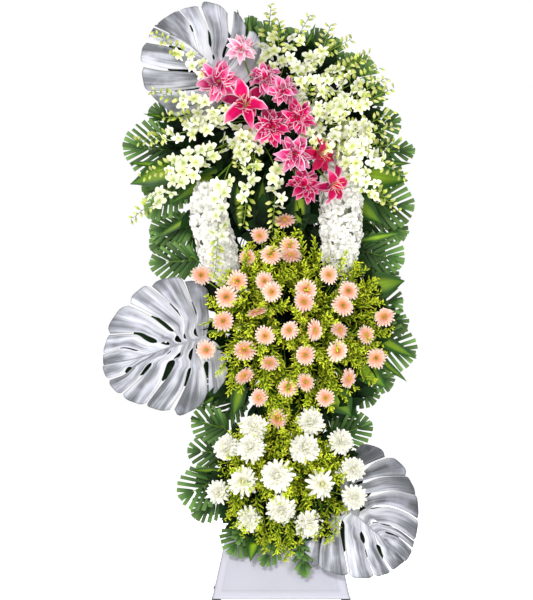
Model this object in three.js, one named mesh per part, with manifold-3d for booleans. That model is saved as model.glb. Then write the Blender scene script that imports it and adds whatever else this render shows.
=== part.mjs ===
// A standing funeral spray, in millimetres: three tiers of cut flowers and foliage, pushed into
// blocks of floral foam on a steel stand with a white front panel. +Z is up, the front faces -Y,
// and the origin lies on the floor in the middle of the space that the spray takes up.
import * as THREE from "three";
import { mergeVertices } from "three/addons/utils/BufferGeometryUtils.js";
import Module from "manifold-3d";

const wasm = await Module();
wasm.setup();

// Driving dimensions of the stand
const GAP = 0.3; // between pieces that touch
const STAND_X = 70; // the stand's middle, to the right of the whole spray's middle
const PLATFORM = { top: 320, thickness: 25, halfWidth: 170, front: -95, back: 110 };
const FRONT_FOOT = { halfSpan: 225, y: -180 };
const REAR_FOOT = { halfSpan: 225, y: 258 };
const LEG_SIZE = 22; // square tube
const LEG_INSET_X = 20; // from the platform's edges to the middle of a leg's top
const LEG_INSET_Y = 16;
const FOOT = { radius: 17, height: 12, sides: 10, edgeHeight: 0.6, topRadius: 0.82 };
const MAST = { size: 30, y: 70, top: 1476 };
const FLANGE = { halfWidth: 40, front: -20, back: 38, top: 6 }; // measured from the mast's foot
const SHELF = { thickness: 5, halfWidth: 70, front: -30 };
const BRACE = { halfThickness: 3, front: -20, depth: 45, seam: 1 }; // the rib under a shelf
const PANEL = { thickness: 12, bottom: 16, top: 282, hem: 24, hemRise: 2, overhang: 2 };

// Driving dimensions of the foam blocks and their trays
const FOAM_FRONT = -50;
const FOAM_BACK = 40;
const TRAY = { wall: 2.5, floor: 3, rim: 26 };
const FOAMS = {
  top: { x: STAND_X, bottom: 1480 + TRAY.floor, height: 200, halfWidth: 100 },
  mid: { x: STAND_X, bottom: 830 + TRAY.floor, height: 150, halfWidth: 110 },
  low: { x: STAND_X, bottom: PLATFORM.top + GAP + TRAY.floor, height: 170, halfWidth: 100 },
};
const PEG = { radius: 5, sides: 5, depth: 34, proud: 10, startShare: 0.7 };

// Each tier's flowers stand on a bulge: its depth in front of y = 0 is
// rim + bulge * exp(-((x - x0) / widthX)^2 - ((z - z0) / widthZ)^2).
const DOMES = {
  top: { x: 70, z: 1560, widthX: 250, widthZ: 260, rim: 75, bulge: 135 },
  mid: { x: 100, z: 900, widthX: 260, widthZ: 280, rim: 78, bulge: 152 },
  low: { x: 85, z: 400, widthX: 200, widthZ: 190, rim: 90, bulge: 130 },
};

// Finishes
const finish = (color, roughness, metalness = 0) =>
  new THREE.MeshStandardMaterial({ color, roughness, metalness });
const WHITE_STEEL = finish(0xeceef0, 0.35, 0.2);
const BLACK_RUBBER = finish(0x1b1b1b, 0.8);
const WHITE_PANEL = finish(0xe4e4ec, 0.6);
const GREEN_PLASTIC = finish(0x1f3d22, 0.6);
const GREEN_FOAM = finish(0x2f5a34, 0.95);
const SILVER_LEAF = finish(0xc9ccd2, 0.35, 0.7);
const PALM_GREEN = finish(0x2c5a1f, 0.55);
const STRIPED_GREEN = finish(0x4d7d12, 0.45);
const GOLDENROD = finish(0x93b020, 0.8);
const LILY_PINK = finish(0xd8206c, 0.5);
const GERBERA_PEACH = finish(0xf8b9a0, 0.6);
const MUM_WHITE = finish(0xf6f6ec, 0.6);
const ORCHID_WHITE = finish(0xf4f6e4, 0.5);

// Solids from three.js geometry

/** The closed geometry as a solid that can be joined and cut. */
function solidOf(geometry) {
  const loose = geometry.index ? geometry.toNonIndexed() : geometry;
  const bare = new THREE.BufferGeometry();
  bare.setAttribute("position", loose.getAttribute("position"));
  const merged = mergeVertices(bare, 1e-3);
  return new wasm.Manifold(
    new wasm.Mesh({
      numProp: 3,
      vertProperties: merged.attributes.position.array,
      triVerts: new Uint32Array(merged.index.array),
    }),
  );
}

/** One solid from several geometries that run into each other. */
function joined(pieces) {
  return wasm.Manifold.union(pieces.map(solidOf));
}

/** A named mesh of a solid in its finish. */
function meshOf(name, solid, material) {
  const { numProp, numVert, vertProperties, triVerts } = solid.getMesh();
  const places = new Float32Array(numVert * 3);
  for (let i = 0; i < numVert; i += 1) {
    places.set(vertProperties.subarray(i * numProp, i * numProp + 3), i * 3);
  }
  const geometry = new THREE.BufferGeometry();
  geometry.setAttribute("position", new THREE.BufferAttribute(places, 3));
  geometry.setIndex(new THREE.BufferAttribute(triVerts, 1));
  geometry.computeVertexNormals();
  const mesh = new THREE.Mesh(geometry, material);
  mesh.name = name;
  return mesh;
}

/** A box between two corners. */
function boxBetween(low, high) {
  const size = high.map((value, i) => value - low[i]);
  return new THREE.BoxGeometry(...size).translate(...low.map((v, i) => v + size[i] / 2));
}

/** A bar of regular section along straight or curved points. */
function bar(points, radius, sides, steps = 1) {
  const section = new THREE.Shape();
  for (let i = 0; i < sides; i += 1) {
    const angle = (i * 2 * Math.PI) / sides;
    const corner = [radius * Math.cos(angle), radius * Math.sin(angle)];
    if (i === 0) section.moveTo(...corner);
    else section.lineTo(...corner);
  }
  const path =
    points.length === 2 ? new THREE.LineCurve3(...points) : new THREE.CatmullRomCurve3(points);
  return new THREE.ExtrudeGeometry(section, { steps, extrudePath: path, bevelEnabled: false });
}

/** A thin blade: a flat outline with a thickness, raised by a formula of its length and width. */
function blade(outline, openings, thickness, lift) {
  const edge = outline.map(([x, y]) => new THREE.Vector2(x, y));
  const shape = new THREE.Shape(THREE.ShapeUtils.isClockWise(edge) ? edge.reverse() : edge);
  const edgeOf = (opening) => opening.map(([x, y]) => new THREE.Vector2(x, y));
  shape.holes = openings.map((opening) => new THREE.Path(edgeOf(opening)));
  const options = { depth: thickness, bevelEnabled: false, curveSegments: 1 };
  const geometry = new THREE.ExtrudeGeometry(shape, options);
  const places = geometry.attributes.position;
  for (let i = 0; i < places.count; i += 1) {
    places.setZ(i, places.getZ(i) + lift(places.getX(i), places.getY(i)));
  }
  return geometry;
}

/**
 * A closed surface that grows from loop to loop.
 * A loop goes counterclockwise, seen from its far side.
 */
class Skin {
  points = [];
  faces = [];

  /** Adds a loop of points and gives back their numbers. */
  loop(points) {
    const first = this.points.length;
    this.points.push(...points.map((point) => point.toArray()));
    return points.map((_, i) => first + i);
  }

  /** Joins a near loop to a far one, stepping round both together. */
  join(near, far) {
    let [i, j] = [0, 0];
    while (i < near.length || j < far.length) {
      const [from, to] = [near[i % near.length], far[j % far.length]];
      const nearNext = j === far.length || (i + 0.5) / near.length <= (j + 0.5) / far.length;
      if (i < near.length && nearNext) {
        i += 1;
        this.faces.push([from, near[i % near.length], to]);
      } else {
        j += 1;
        this.faces.push([from, far[j % far.length], to]);
      }
    }
  }

  /** Closes the far end with a fan to a point. */
  closeFar(loop, point) {
    const [top] = this.loop([point]);
    loop.forEach((from, i) => this.faces.push([from, loop[(i + 1) % loop.length], top]));
  }

  /** Closes the near end with a fan to a point. */
  closeNear(loop, point) {
    const [low] = this.loop([point]);
    loop.forEach((from, i) => this.faces.push([loop[(i + 1) % loop.length], from, low]));
  }

  /** Joins two like loops of a tube, where grow may let something grow out of a side. */
  joinSides(near, far, grow) {
    near.forEach((from, i) => {
      const next = (i + 1) % near.length;
      const side = [from, near[next], far[next], far[i]];
      if (!grow(side, i)) {
        this.faces.push([side[0], side[1], side[3]], [side[1], side[2], side[3]]);
      }
    });
  }

  get geometry() {
    const geometry = new THREE.BufferGeometry();
    geometry.setAttribute("position", new THREE.Float32BufferAttribute(this.points.flat(), 3));
    geometry.setIndex(this.faces.flat());
    return geometry;
  }
}

// Placing

const vector = (x, y, z) => new THREE.Vector3(x, y, z);
const TOWARDS_VIEWER = vector(0, -1, 0);

/** A frame at a place whose own +Z looks along outward, turned by roll. */
function frameAt(place, outward, roll = 0) {
  const turn = new THREE.Quaternion().setFromUnitVectors(vector(0, 0, 1), outward);
  const frame = new THREE.Matrix4().compose(place, turn, vector(1, 1, 1));
  return frame.multiply(new THREE.Matrix4().makeRotationZ(roll));
}

/** A loop of points in a frame: for each petal the spots [share of its turn, reach, height]. */
function petalLoop(frame, petals, spots) {
  const turn = (2 * Math.PI) / petals;
  return Array.from({ length: petals }, (_, i) => i).flatMap((i) =>
    spots.map(([share, reach, height]) => {
      const angle = (i + share) * turn;
      return vector(reach * Math.cos(angle), reach * Math.sin(angle), height).applyMatrix4(frame);
    }),
  );
}

/** A loop of points round a place on a stem that runs along a direction. */
function stemLoop(place, along, across, radius, sides = 3) {
  const level = across.clone().addScaledVector(along, -across.dot(along)).normalize();
  const upright = along.clone().cross(level);
  return Array.from({ length: sides }, (_, i) => (i * 2 * Math.PI) / sides).map((angle) =>
    place
      .clone()
      .addScaledVector(level, radius * Math.cos(angle))
      .addScaledVector(upright, radius * Math.sin(angle)),
  );
}

/** Starts a skin with a straight stem between two points and gives back its far loop. */
function startStem(skin, from, to, across, radius) {
  const along = to.clone().sub(from).normalize();
  const near = skin.loop(stemLoop(from, along, across, radius));
  const far = skin.loop(stemLoop(to, along, across, radius));
  skin.closeNear(near, from);
  skin.join(near, far);
  return far;
}

/** Lays a flat blade from its base to its tip, and its stalk, at negative x, towards an end. */
function laid(geometry, base, tip, stalkEnd, facing) {
  const along = tip.clone().sub(base).normalize();
  const across = facing.clone().cross(along).normalize();
  const out = along.clone().cross(across);
  const inStalk = base.clone().sub(stalkEnd).normalize();
  const stalkOut = inStalk.clone().cross(across).normalize();
  const places = geometry.attributes.position;
  for (let i = 0; i < places.count; i += 1) {
    const [x, y, z] = [places.getX(i), places.getY(i), places.getZ(i)];
    const isStalk = x < -1 && Math.abs(y) <= STALK_HALF + GAP;
    const place = base.clone().addScaledVector(isStalk ? inStalk : along, x);
    place.addScaledVector(across, y).addScaledVector(isStalk ? stalkOut : out, z);
    places.setXYZ(i, place.x, place.y, place.z);
  }
  return geometry;
}

/** Where a tier's bulge lies at x and z, and which way it faces there. */
function onDome(dome, x, z, lift = 0) {
  const acrossX = (x - dome.x) / dome.widthX;
  const acrossZ = (z - dome.z) / dome.widthZ;
  const bulge = dome.bulge * Math.exp(-(acrossX ** 2) - acrossZ ** 2);
  const slopeX = (2 * bulge * acrossX) / dome.widthX;
  const slopeZ = (2 * bulge * acrossZ) / dome.widthZ;
  const outward = vector(slopeX, -1, slopeZ).normalize();
  const place = vector(x, -dome.rim - bulge, z).addScaledVector(outward, lift);
  return { place, outward };
}

// Stems are pushed into the foam through holes that are gathered here for each block.
const foamHoles = { top: [], mid: [], low: [] };

/** A peg pushed into a foam block's face at two places on it, and where its stems start. */
function rootIn(tier, side, a, b) {
  const foam = FOAMS[tier];
  const sides = {
    front: [vector(a, FOAM_FRONT, b), vector(0, 1, 0)],
    left: [vector(foam.x - foam.halfWidth, a, b), vector(1, 0, 0)],
    right: [vector(foam.x + foam.halfWidth, a, b), vector(-1, 0, 0)],
    top: [vector(a, b, foam.bottom + foam.height), vector(0, 0, -1)],
  };
  const [face, inward] = sides[side];
  const at = (depth) => face.clone().addScaledVector(inward, depth);
  const holeRadius = PEG.radius + GAP / Math.cos(Math.PI / PEG.sides);
  const hole = bar([at(-PEG.proud), at(PEG.depth + GAP)], holeRadius, PEG.sides);
  foamHoles[tier].push(solidOf(hole));
  return {
    geometry: bar([at(-PEG.proud), at(PEG.depth)], PEG.radius, PEG.sides),
    start: at(-PEG.proud * PEG.startShare),
  };
}

// The stand

/** A flat-ended leg from its foot to the platform, leaning inwards. */
function leg(side, foot) {
  const top = PLATFORM.top - PLATFORM.thickness - GAP;
  const half = LEG_SIZE / 2;
  const inset = PLATFORM.halfWidth - LEG_INSET_X;
  const topY = foot.y < 0 ? PLATFORM.front + LEG_INSET_Y : PLATFORM.back - LEG_INSET_Y;
  const geometry = new THREE.BoxGeometry(LEG_SIZE, LEG_SIZE, top - FOOT.height - GAP);
  const places = geometry.attributes.position;
  for (let i = 0; i < places.count; i += 1) {
    const upper = places.getZ(i) > 0;
    const x = upper ? inset : foot.halfSpan - half;
    places.setX(i, STAND_X + side * x + Math.sign(places.getX(i)) * half);
    places.setY(i, (upper ? topY : foot.y) + Math.sign(places.getY(i)) * half);
    places.setZ(i, upper ? top : FOOT.height + GAP);
  }
  return solidOf(geometry);
}

/** A round rubber foot under a leg, with a cup of its own size round the tube's end. */
function rubberFoot(side, foot) {
  const { radius, height, sides, edgeHeight, topRadius } = FOOT;
  const profile = [
    [0, 0],
    [radius, 0],
    [radius, height * edgeHeight],
    [radius * topRadius, height],
    [0, height],
  ];
  const points = profile.map(([x, y]) => new THREE.Vector2(x, y));
  const x = STAND_X + side * (foot.halfSpan - LEG_SIZE / 2);
  const turned = new THREE.LatheGeometry(points, sides).rotateX(Math.PI / 2);
  return solidOf(turned.translate(x, foot.y, 0));
}

/** The front panel: a board on the front legs, leaning with them, with a raised hem all round. */
function frontPanel() {
  const [low, high] = [FOOT.height + GAP, PLATFORM.top - PLATFORM.thickness - GAP];
  const lean = (PLATFORM.front + LEG_INSET_Y - FRONT_FOOT.y) / (high - low);
  const legTop = PLATFORM.halfWidth - LEG_INSET_X;
  const splay = (FRONT_FOOT.halfSpan - LEG_SIZE / 2 - legTop) / (high - low);
  const halfAt = (z) => FRONT_FOOT.halfSpan + PANEL.overhang - splay * (z - low);
  const faceAt = (z) => FRONT_FOOT.y - LEG_SIZE / 2 + lean * (z - low) - GAP;
  const outline = (inset) => [
    [-halfAt(PANEL.bottom) + inset, PANEL.bottom + inset],
    [halfAt(PANEL.bottom) - inset, PANEL.bottom + inset],
    [halfAt(PANEL.top) - inset, PANEL.top - inset],
    [-halfAt(PANEL.top) + inset, PANEL.top - inset],
  ];
  const onLegs = (geometry, forward) => {
    const places = geometry.attributes.position;
    for (let i = 0; i < places.count; i += 1) {
      const [x, z, depth] = [places.getX(i), places.getY(i), places.getZ(i)];
      places.setXYZ(i, STAND_X + x, faceAt(z) - forward - depth, z);
    }
    return geometry;
  };
  const flat = () => 0;
  const board = onLegs(blade(outline(0), [], PANEL.thickness, flat), 0);
  const recessDepth = PANEL.thickness - PANEL.hemRise;
  const recess = onLegs(blade(outline(PANEL.hem), [], PANEL.hemRise + 1, flat), recessDepth);
  return solidOf(board).subtract(solidOf(recess));
}

/** The mast with its foot flange and the two shelves welded to it. */
function mast() {
  const half = MAST.size / 2;
  const bottom = PLATFORM.top + GAP;
  const pieces = [
    boxBetween(
      [STAND_X - half, MAST.y - half, bottom],
      [STAND_X + half, MAST.y + half, MAST.top],
    ),
    boxBetween(
      [STAND_X - FLANGE.halfWidth, MAST.y + FLANGE.front, bottom],
      [STAND_X + FLANGE.halfWidth, MAST.y + FLANGE.back, PLATFORM.top + FLANGE.top],
    ),
  ];
  for (const tier of ["mid", "top"]) {
    const top = FOAMS[tier].bottom - TRAY.floor - GAP;
    const [left, right] = [STAND_X - SHELF.halfWidth, STAND_X + SHELF.halfWidth];
    pieces.push(
      boxBetween([left, SHELF.front, top - SHELF.thickness], [right, MAST.y + half, top]),
      boxBetween(
        [STAND_X - BRACE.halfThickness, BRACE.front, top - BRACE.depth],
        [STAND_X + BRACE.halfThickness, MAST.y, top - BRACE.seam],
      ),
    );
  }
  return joined(pieces);
}

/** A shallow plastic tray with a rim, which a foam block sits in. */
function tray(foam) {
  const { wall, floor, rim } = TRAY;
  const [left, right] = [foam.x - foam.halfWidth, foam.x + foam.halfWidth];
  const out = wall + GAP;
  const outer = boxBetween(
    [left - out, FOAM_FRONT - out, foam.bottom - floor],
    [right + out, FOAM_BACK + out, foam.bottom + rim],
  );
  const inner = boxBetween(
    [left - GAP, FOAM_FRONT - GAP, foam.bottom],
    [right + GAP, FOAM_BACK + GAP, foam.bottom + rim + 1],
  );
  return solidOf(outer).subtract(solidOf(inner));
}

/** A foam block with the holes that the stems stand in. */
function foamBlock(tier) {
  const foam = FOAMS[tier];
  const low = [foam.x - foam.halfWidth, FOAM_FRONT, foam.bottom + GAP];
  const high = [foam.x + foam.halfWidth, FOAM_BACK, foam.bottom + foam.height];
  return solidOf(boxBetween(low, high)).subtract(wasm.Manifold.union(foamHoles[tier]));
}

// Foliage

const STALK_HALF = 2.2;
const LEAF_THICKNESS = { palm: 1.2, split: 1.6, strap: 1.2 };

/** Half of an outline with the stalk's edge before it, and its mirror image to close it. */
function mirrored(upper, stalk, end) {
  const whole = [[-stalk, STALK_HALF], [0, STALK_HALF], ...upper];
  return [...whole, ...end, ...whole.map(([x, y]) => [x, -y]).reverse()];
}

/** A palm frond's blade: leaflets cut to the rib and trimmed square to a round fan. */
function fanBlade(length, half, stalk) {
  const leaflets = 4;
  const strip = 4.5; // half width of the uncut strip along the rib
  const upper = [];
  for (let i = 0; i < leaflets; i += 1) {
    const share = i / (leaflets - 0.4);
    const polar = THREE.MathUtils.degToRad(146 - 134 * share);
    const root = length * (0.08 + 0.62 * share);
    const end = [length * (0.5 + 0.5 * Math.cos(polar)), half * Math.sin(polar)];
    const along = new THREE.Vector2(end[0] - root, end[1]).normalize();
    const width = 0.42 * half * (1 - 0.3 * share);
    upper.push([end[0] - along.y * width * 0.5, end[1] + along.x * width * 0.5]);
    upper.push([end[0] + along.y * width * 0.5, end[1] - along.x * width * 0.5]);
    upper.push([root + length * 0.13, strip * (1 - 0.4 * share)]);
  }
  upper.push([length, 2.5]);
  const arch = (x, y) => 10 * Math.sin((Math.PI * Math.max(x, 0)) / length) - 9 * (y / half) ** 2;
  return blade(mirrored(upper, stalk, []), [], LEAF_THICKNESS.palm, arch);
}

/** A split leaf of a Swiss cheese plant: a heart cut by slits, with holes beside the midrib. */
function splitLeaf(length, half, stalk) {
  const margin = (degrees) => {
    const polar = THREE.MathUtils.degToRad(degrees);
    return [length * (0.42 + 0.58 * Math.cos(polar)), half * Math.sin(polar)];
  };
  const slits = [
    { out: 128, root: [0.2, 0.24] },
    { out: 103, root: [0.35, 0.24] },
    { out: 79, root: [0.5, 0.22] },
    { out: 56, root: [0.64, 0.19] },
    { out: 33, root: [0.77, 0.14] },
  ];
  const upper = [margin(172), margin(155)];
  for (const { out, root } of slits) {
    const [x, y] = [root[0] * length, root[1] * half];
    upper.push(margin(out + 9), margin(out + 1.4), [x, y + 1], [x + 0.02 * length, y]);
    upper.push(margin(out - 1.4), margin(out - 8));
  }
  upper.push(margin(12));
  const corners = [[-6, -2], [3, -3], [8, 5], [-1, 4]]; // of an opening, round its middle
  const openings = [];
  for (const side of [-1, 1]) {
    for (const [x, y] of [[0.27, 0.1], [0.42, 0.1], [0.56, 0.09]]) {
      const [middleX, middleY] = [x * length, side * y * half];
      openings.push(corners.map(([dx, dy]) => [middleX + dx, middleY + side * dy]));
    }
  }
  const wave = (x, y) => 16 * Math.sin((Math.PI * Math.max(x, 0)) / length) - 22 * (y / half) ** 2;
  return blade(mirrored(upper, stalk, [margin(0)]), openings, LEAF_THICKNESS.split, wave);
}

/** A long pointed leaf, folded a little along its midrib. */
function strapLeaf(length, half, stalk) {
  const widths = [[0.18, 0.72], [0.45, 1], [0.75, 0.74], [0.93, 0.26]];
  const upper = widths.map(([x, y]) => [x * length, y * half]);
  const bend = (x, y) => 8 * Math.sin((Math.PI * Math.max(x, 0)) / length) + 0.16 * Math.abs(y);
  return blade(mirrored(upper, stalk, [[length, 0]]), [], LEAF_THICKNESS.strap, bend);
}

/** A node of leaves of one kind. Their stalks run from one peg, straight or by a place. */
function leafNode(root, leaves, makeBlade) {
  const pieces = [root.geometry];
  for (const { base, tip, half, via, faces = [0, -1, 0] } of leaves) {
    const [from, to] = [vector(...base), vector(...tip)];
    const stalkEnd = via ? vector(...via) : root.start;
    const overlap = via ? 4 : 0;
    if (via) {
      const ahead = stalkEnd.clone().sub(root.start).setLength(overlap);
      pieces.push(bar([root.start, stalkEnd.clone().add(ahead)], STALK_HALF, 3));
    }
    const flat = makeBlade(from.distanceTo(to), half, from.distanceTo(stalkEnd) + overlap);
    pieces.push(laid(flat, from, to, stalkEnd, vector(...faces).normalize()));
  }
  return joined(pieces);
}

// Each leaf: its base and tip as [x, y, z], its half width, and a place that its stalk goes by.
const PALMS = {
  palm_top_left: {
    root: ["top", "left", 18, 1590],
    leaves: [
      { base: [-250, 8, 1493], tip: [-462, 4, 1510], half: 95 },
      { base: [-215, 26, 1540], tip: [-372, 30, 1640], half: 62 },
      { base: [-250, -8, 1400], tip: [-380, -6, 1272], half: 62 },
    ],
  },
  palm_top: {
    root: ["top", "top", 84, 20],
    leaves: [
      { base: [34, 4, 1725], tip: [22, 8, 1932], half: 78 },
      { base: [133, 22, 1725], tip: [215, 26, 1904], half: 76 },
      { base: [225, 0, 1655], tip: [375, 2, 1800], half: 78, via: [170, 6, 1698] },
    ],
  },
  palm_top_right: {
    root: ["top", "right", 18, 1560],
    leaves: [
      { base: [317, 26, 1560], tip: [474, 30, 1600], half: 62 },
      { base: [368, -6, 1493], tip: [520, -6, 1493], half: 46 },
      { base: [350, 14, 1327], tip: [518, 10, 1300], half: 86 },
      { base: [317, 0, 1165], tip: [484, 0, 1122], half: 78 },
    ],
  },
  palm_mid_left: {
    root: ["mid", "left", 18, 945],
    leaves: [
      { base: [-225, 22, 1243], tip: [-373, 24, 1220], half: 62 },
      { base: [-210, 4, 1127], tip: [-372, 4, 1118], half: 66 },
    ],
  },
  palm_mid_right: {
    root: ["mid", "right", 18, 930],
    leaves: [
      { base: [340, 22, 977], tip: [484, 24, 993], half: 72 },
      { base: [333, 2, 860], tip: [525, 4, 808], half: 92 },
      { base: [283, 22, 760], tip: [388, 24, 643], half: 72 },
    ],
  },
  palm_low_left: {
    root: ["low", "left", 18, 450],
    leaves: [
      { base: [-117, 2, 560], tip: [-232, 2, 595], half: 62 },
      { base: [-117, 22, 477], tip: [-245, 24, 487], half: 56 },
      { base: [-140, 0, 393], tip: [-272, 0, 327], half: 76 },
    ],
  },
  palm_low_right: {
    root: ["low", "right", 18, 455],
    leaves: [{ base: [240, 10, 527], tip: [375, 12, 582], half: 64 }],
  },
  palm_low_front: {
    root: ["low", "front", 60, 367],
    leaves: [
      { base: [-46, -134, 236], tip: [-108, -180, 150], half: 60, via: [-64, -130, 322] },
      { base: [68, -150, 214], tip: [5, -188, 112], half: 44, via: [60, -116, 325] },
      { base: [134, -150, 200], tip: [148, -202, 74], half: 32, via: [122, -116, 325] },
    ],
  },
};
const STRAPS = {
  strap_top_left: {
    root: ["top", "left", -22, 1573],
    leaves: [
      { base: [-83, -30, 1455], tip: [-298, -40, 1317], half: 34 },
      { base: [-150, -34, 1480], tip: [-335, -42, 1433], half: 22 },
      { base: [-240, -22, 1450], tip: [-434, -24, 1382], half: 44 },
    ],
  },
  strap_top_right: {
    root: ["top", "right", -22, 1577],
    leaves: [
      { base: [300, -24, 1425], tip: [494, -28, 1393], half: 48 },
      { base: [285, -34, 1350], tip: [408, -40, 1250], half: 38 },
    ],
  },
  strap_mid_right: {
    root: ["mid", "right", -22, 945],
    leaves: [
      { base: [340, -24, 1030], tip: [484, -26, 1057], half: 44 },
      { base: [360, -28, 887], tip: [524, -30, 797], half: 22 },
      { base: [317, -32, 795], tip: [421, -36, 700], half: 40 },
    ],
  },
  strap_arch: {
    root: ["top", "front", 60, 1522],
    leaves: [
      { base: [-70, -62, 1400], tip: [-67, -52, 1222], half: 34 },
      { base: [8, -60, 1390], tip: [0, -48, 1193], half: 30 },
      { base: [133, -62, 1380], tip: [133, -52, 1195], half: 36 },
    ],
  },
  strap_mid_low: {
    root: ["mid", "front", 45, 869],
    leaves: [
      { base: [-57, -62, 735], tip: [-90, -50, 602], half: 26 },
      { base: [60, -60, 700], tip: [48, -48, 548], half: 44 },
      { base: [235, -62, 700], tip: [304, -54, 606], half: 44 },
    ],
  },
  strap_low: {
    root: ["low", "front", -22, 372],
    leaves: [{ base: [-14, -146, 215], tip: [-32, -200, 128], half: 22, via: [-30, -98, 328] }],
  },
};
const SILVER_LEAVES = {
  silver_leaf_top: {
    root: ["top", "left", -34, 1668],
    leaves: [{ base: [-98, -66, 1676], tip: [-350, -76, 1900], half: 205 }],
  },
  silver_leaf_mid: {
    root: ["mid", "left", -30, 872],
    leaves: [{ base: [-150, -58, 890], tip: [-522, -86, 782], half: 208 }],
  },
  silver_leaf_low: {
    root: ["low", "right", -30, 390],
    leaves: [{ base: [256, -112, 322], tip: [472, -193, 128], half: 188, faces: [0, -1, 0.42] }],
  },
};

// Flowers

/** The geometry of a head on a straight stem, from the stem's far loop onwards. */
function gerbera(skin, stem, frame) {
  const edge = skin.loop(petalLoop(frame, 10, [[0, 35, 5], [0.5, 24, 2]]));
  skin.join(stem, edge);
  skin.closeFar(edge, vector(0, 0, 4).applyMatrix4(frame));
}

/** A double chrysanthemum: rings of petal tips that stand alternately out and in. */
function chrysanthemum(skin, stem, frame, size) {
  const rings = [[98, 1], [66, 0.94], [34, 0.84]];
  let near = stem;
  rings.forEach(([degrees, share], row) => {
    const polar = THREE.MathUtils.degToRad(degrees);
    const [out, up] = [size * share * Math.sin(polar), size * share * Math.cos(polar)];
    const [high, low] = row % 2 ? [0.84, 1.14] : [1.14, 0.84];
    const spots = [[0, out * high, up * high], [0.5, out * low, up * low]];
    const far = skin.loop(petalLoop(frame, 6, spots));
    skin.join(near, far);
    near = far;
  });
  skin.closeFar(near, vector(0, 0, size * 0.74).applyMatrix4(frame));
}

/** A lily: six petals round a deep throat, and three more inside the ring of a double one. */
function lily(skin, stem, frame, size, double) {
  const petals = (count, reach, rise, rim) =>
    petalLoop(frame, count, [
      [0, reach * size, rise * size],
      [0.2, 0.68 * reach * size, (rise + rim) * size],
      [0.5, 0.28 * reach * size, (rise - rim) * size],
      [0.8, 0.68 * reach * size, (rise + rim) * size],
    ]);
  const outer = skin.loop(petals(6, 1, 0, 0.08));
  skin.join(stem, outer);
  if (!double) {
    skin.closeFar(outer, vector(0, 0, -0.18 * size).applyMatrix4(frame));
    return;
  }
  const throat = skin.loop(petalLoop(frame, 6, [[0, 0.2 * size, 0.02 * size]]));
  const inner = skin.loop(petals(3, 0.58, 0.34, 0.06));
  skin.join(outer, throat);
  skin.join(throat, inner);
  skin.closeFar(inner, vector(0, 0, 0.2 * size).applyMatrix4(frame));
}

/** Goldenrod: two tufts of points, one behind the other on the stem, and a pointed end. */
function goldenrod(skin, stem, frame) {
  const tuft = (reach, height) =>
    petalLoop(frame, 4, [[0, reach, height], [0.5, reach * 0.4, height + 3]]);
  const waist = (height) => petalLoop(frame, 3, [[0, 2, height]]);
  let near = stem;
  for (const loop of [tuft(17, 12), waist(17), tuft(13, 28)]) {
    const far = skin.loop(loop);
    skin.join(near, far);
    near = far;
  }
  skin.closeFar(near, vector(0, 0, 40).applyMatrix4(frame));
}

/** One head with its stem from a start, where sink is how far behind the head the stem ends. */
function headOnStem(start, frame, sink, radius, grow) {
  const skin = new Skin();
  const end = vector(0, 0, -sink).applyMatrix4(frame);
  const across = vector(1, 0, 0).transformDirection(frame);
  grow(skin, startStem(skin, start, end, across, radius), frame);
  return skin.geometry;
}

/** A bunch on one peg: a straight stem runs to each head, which sits on its tier's bulge. */
function bunch(tier, root, heads, { sink, stem, grow }) {
  const { geometry, start } = rootIn(tier, "front", ...root);
  const pieces = heads.map(([x, z, lift = 0, ...more], i) => {
    const { place, outward } = onDome(DOMES[tier], x, z, lift);
    const frame = frameAt(place, outward, i * 0.7);
    const [size = 0] = more;
    const behind = typeof sink === "function" ? sink(size) : sink;
    return headOnStem(start, frame, behind, stem, (...skin) => grow(...skin, ...more));
  });
  return joined([geometry, ...pieces]);
}

// Each bunch: the peg's [x, z] on the foam's front, and the heads as [x, z, lift, size, double].
const GERBERAS = {
  gerberas_top: {
    root: [62, 965],
    heads: [
      [82, 1257], [98, 1172], [102, 1131, 22], [36, 1142], [-1, 1209], [-42, 1134], [16, 1056],
      [44, 1013, 22],
    ],
  },
  gerberas_upper_left: {
    root: [10, 925],
    heads: [[-196, 1075], [-74, 1056], [-109, 1002, 8], [-9, 953], [-121, 923]],
  },
  gerberas_lower_left: {
    root: [22, 880],
    heads: [[17, 875], [-174, 828, 12], [-50, 826], [-51, 740], [31, 784]],
  },
  gerberas_bottom: {
    root: [76, 872],
    heads: [[-3, 669], [92, 702], [59, 599], [150, 721], [217, 668]],
  },
  gerberas_lower_right: {
    root: [118, 895],
    heads: [
      [98, 893], [180, 893], [263, 893], [352, 877], [150, 811], [256, 825], [387, 799],
      [293, 732],
    ],
  },
  gerberas_upper_right: {
    root: [112, 940],
    heads: [[227, 1077], [153, 1027], [141, 980, 22], [294, 1023], [266, 971, 20], [415, 936]],
  },
};
const MUMS = {
  chrysanthemums_upper_left: {
    root: [25, 450],
    heads: [[-19, 568, 0, 40], [-24, 497, 18, 40], [-111, 502, 0, 36]],
  },
  chrysanthemums_lower_left: {
    root: [22, 408],
    heads: [[-54, 390, 0, 43], [-139, 355, 0, 34], [-29, 266, 30, 37]],
  },
  chrysanthemums_upper_right: {
    root: [115, 450],
    heads: [[146, 497, 10, 43], [167, 587, 0, 40], [268, 521, 0, 37], [305, 430, 12, 34]],
  },
  chrysanthemums_lower_right: {
    root: [110, 395],
    heads: [
      [58, 413, 0, 45], [72, 301, 6, 42], [202, 383, 0, 41], [301, 335, 45, 35],
      [156, 252, 34, 40],
    ],
  },
};
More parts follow.
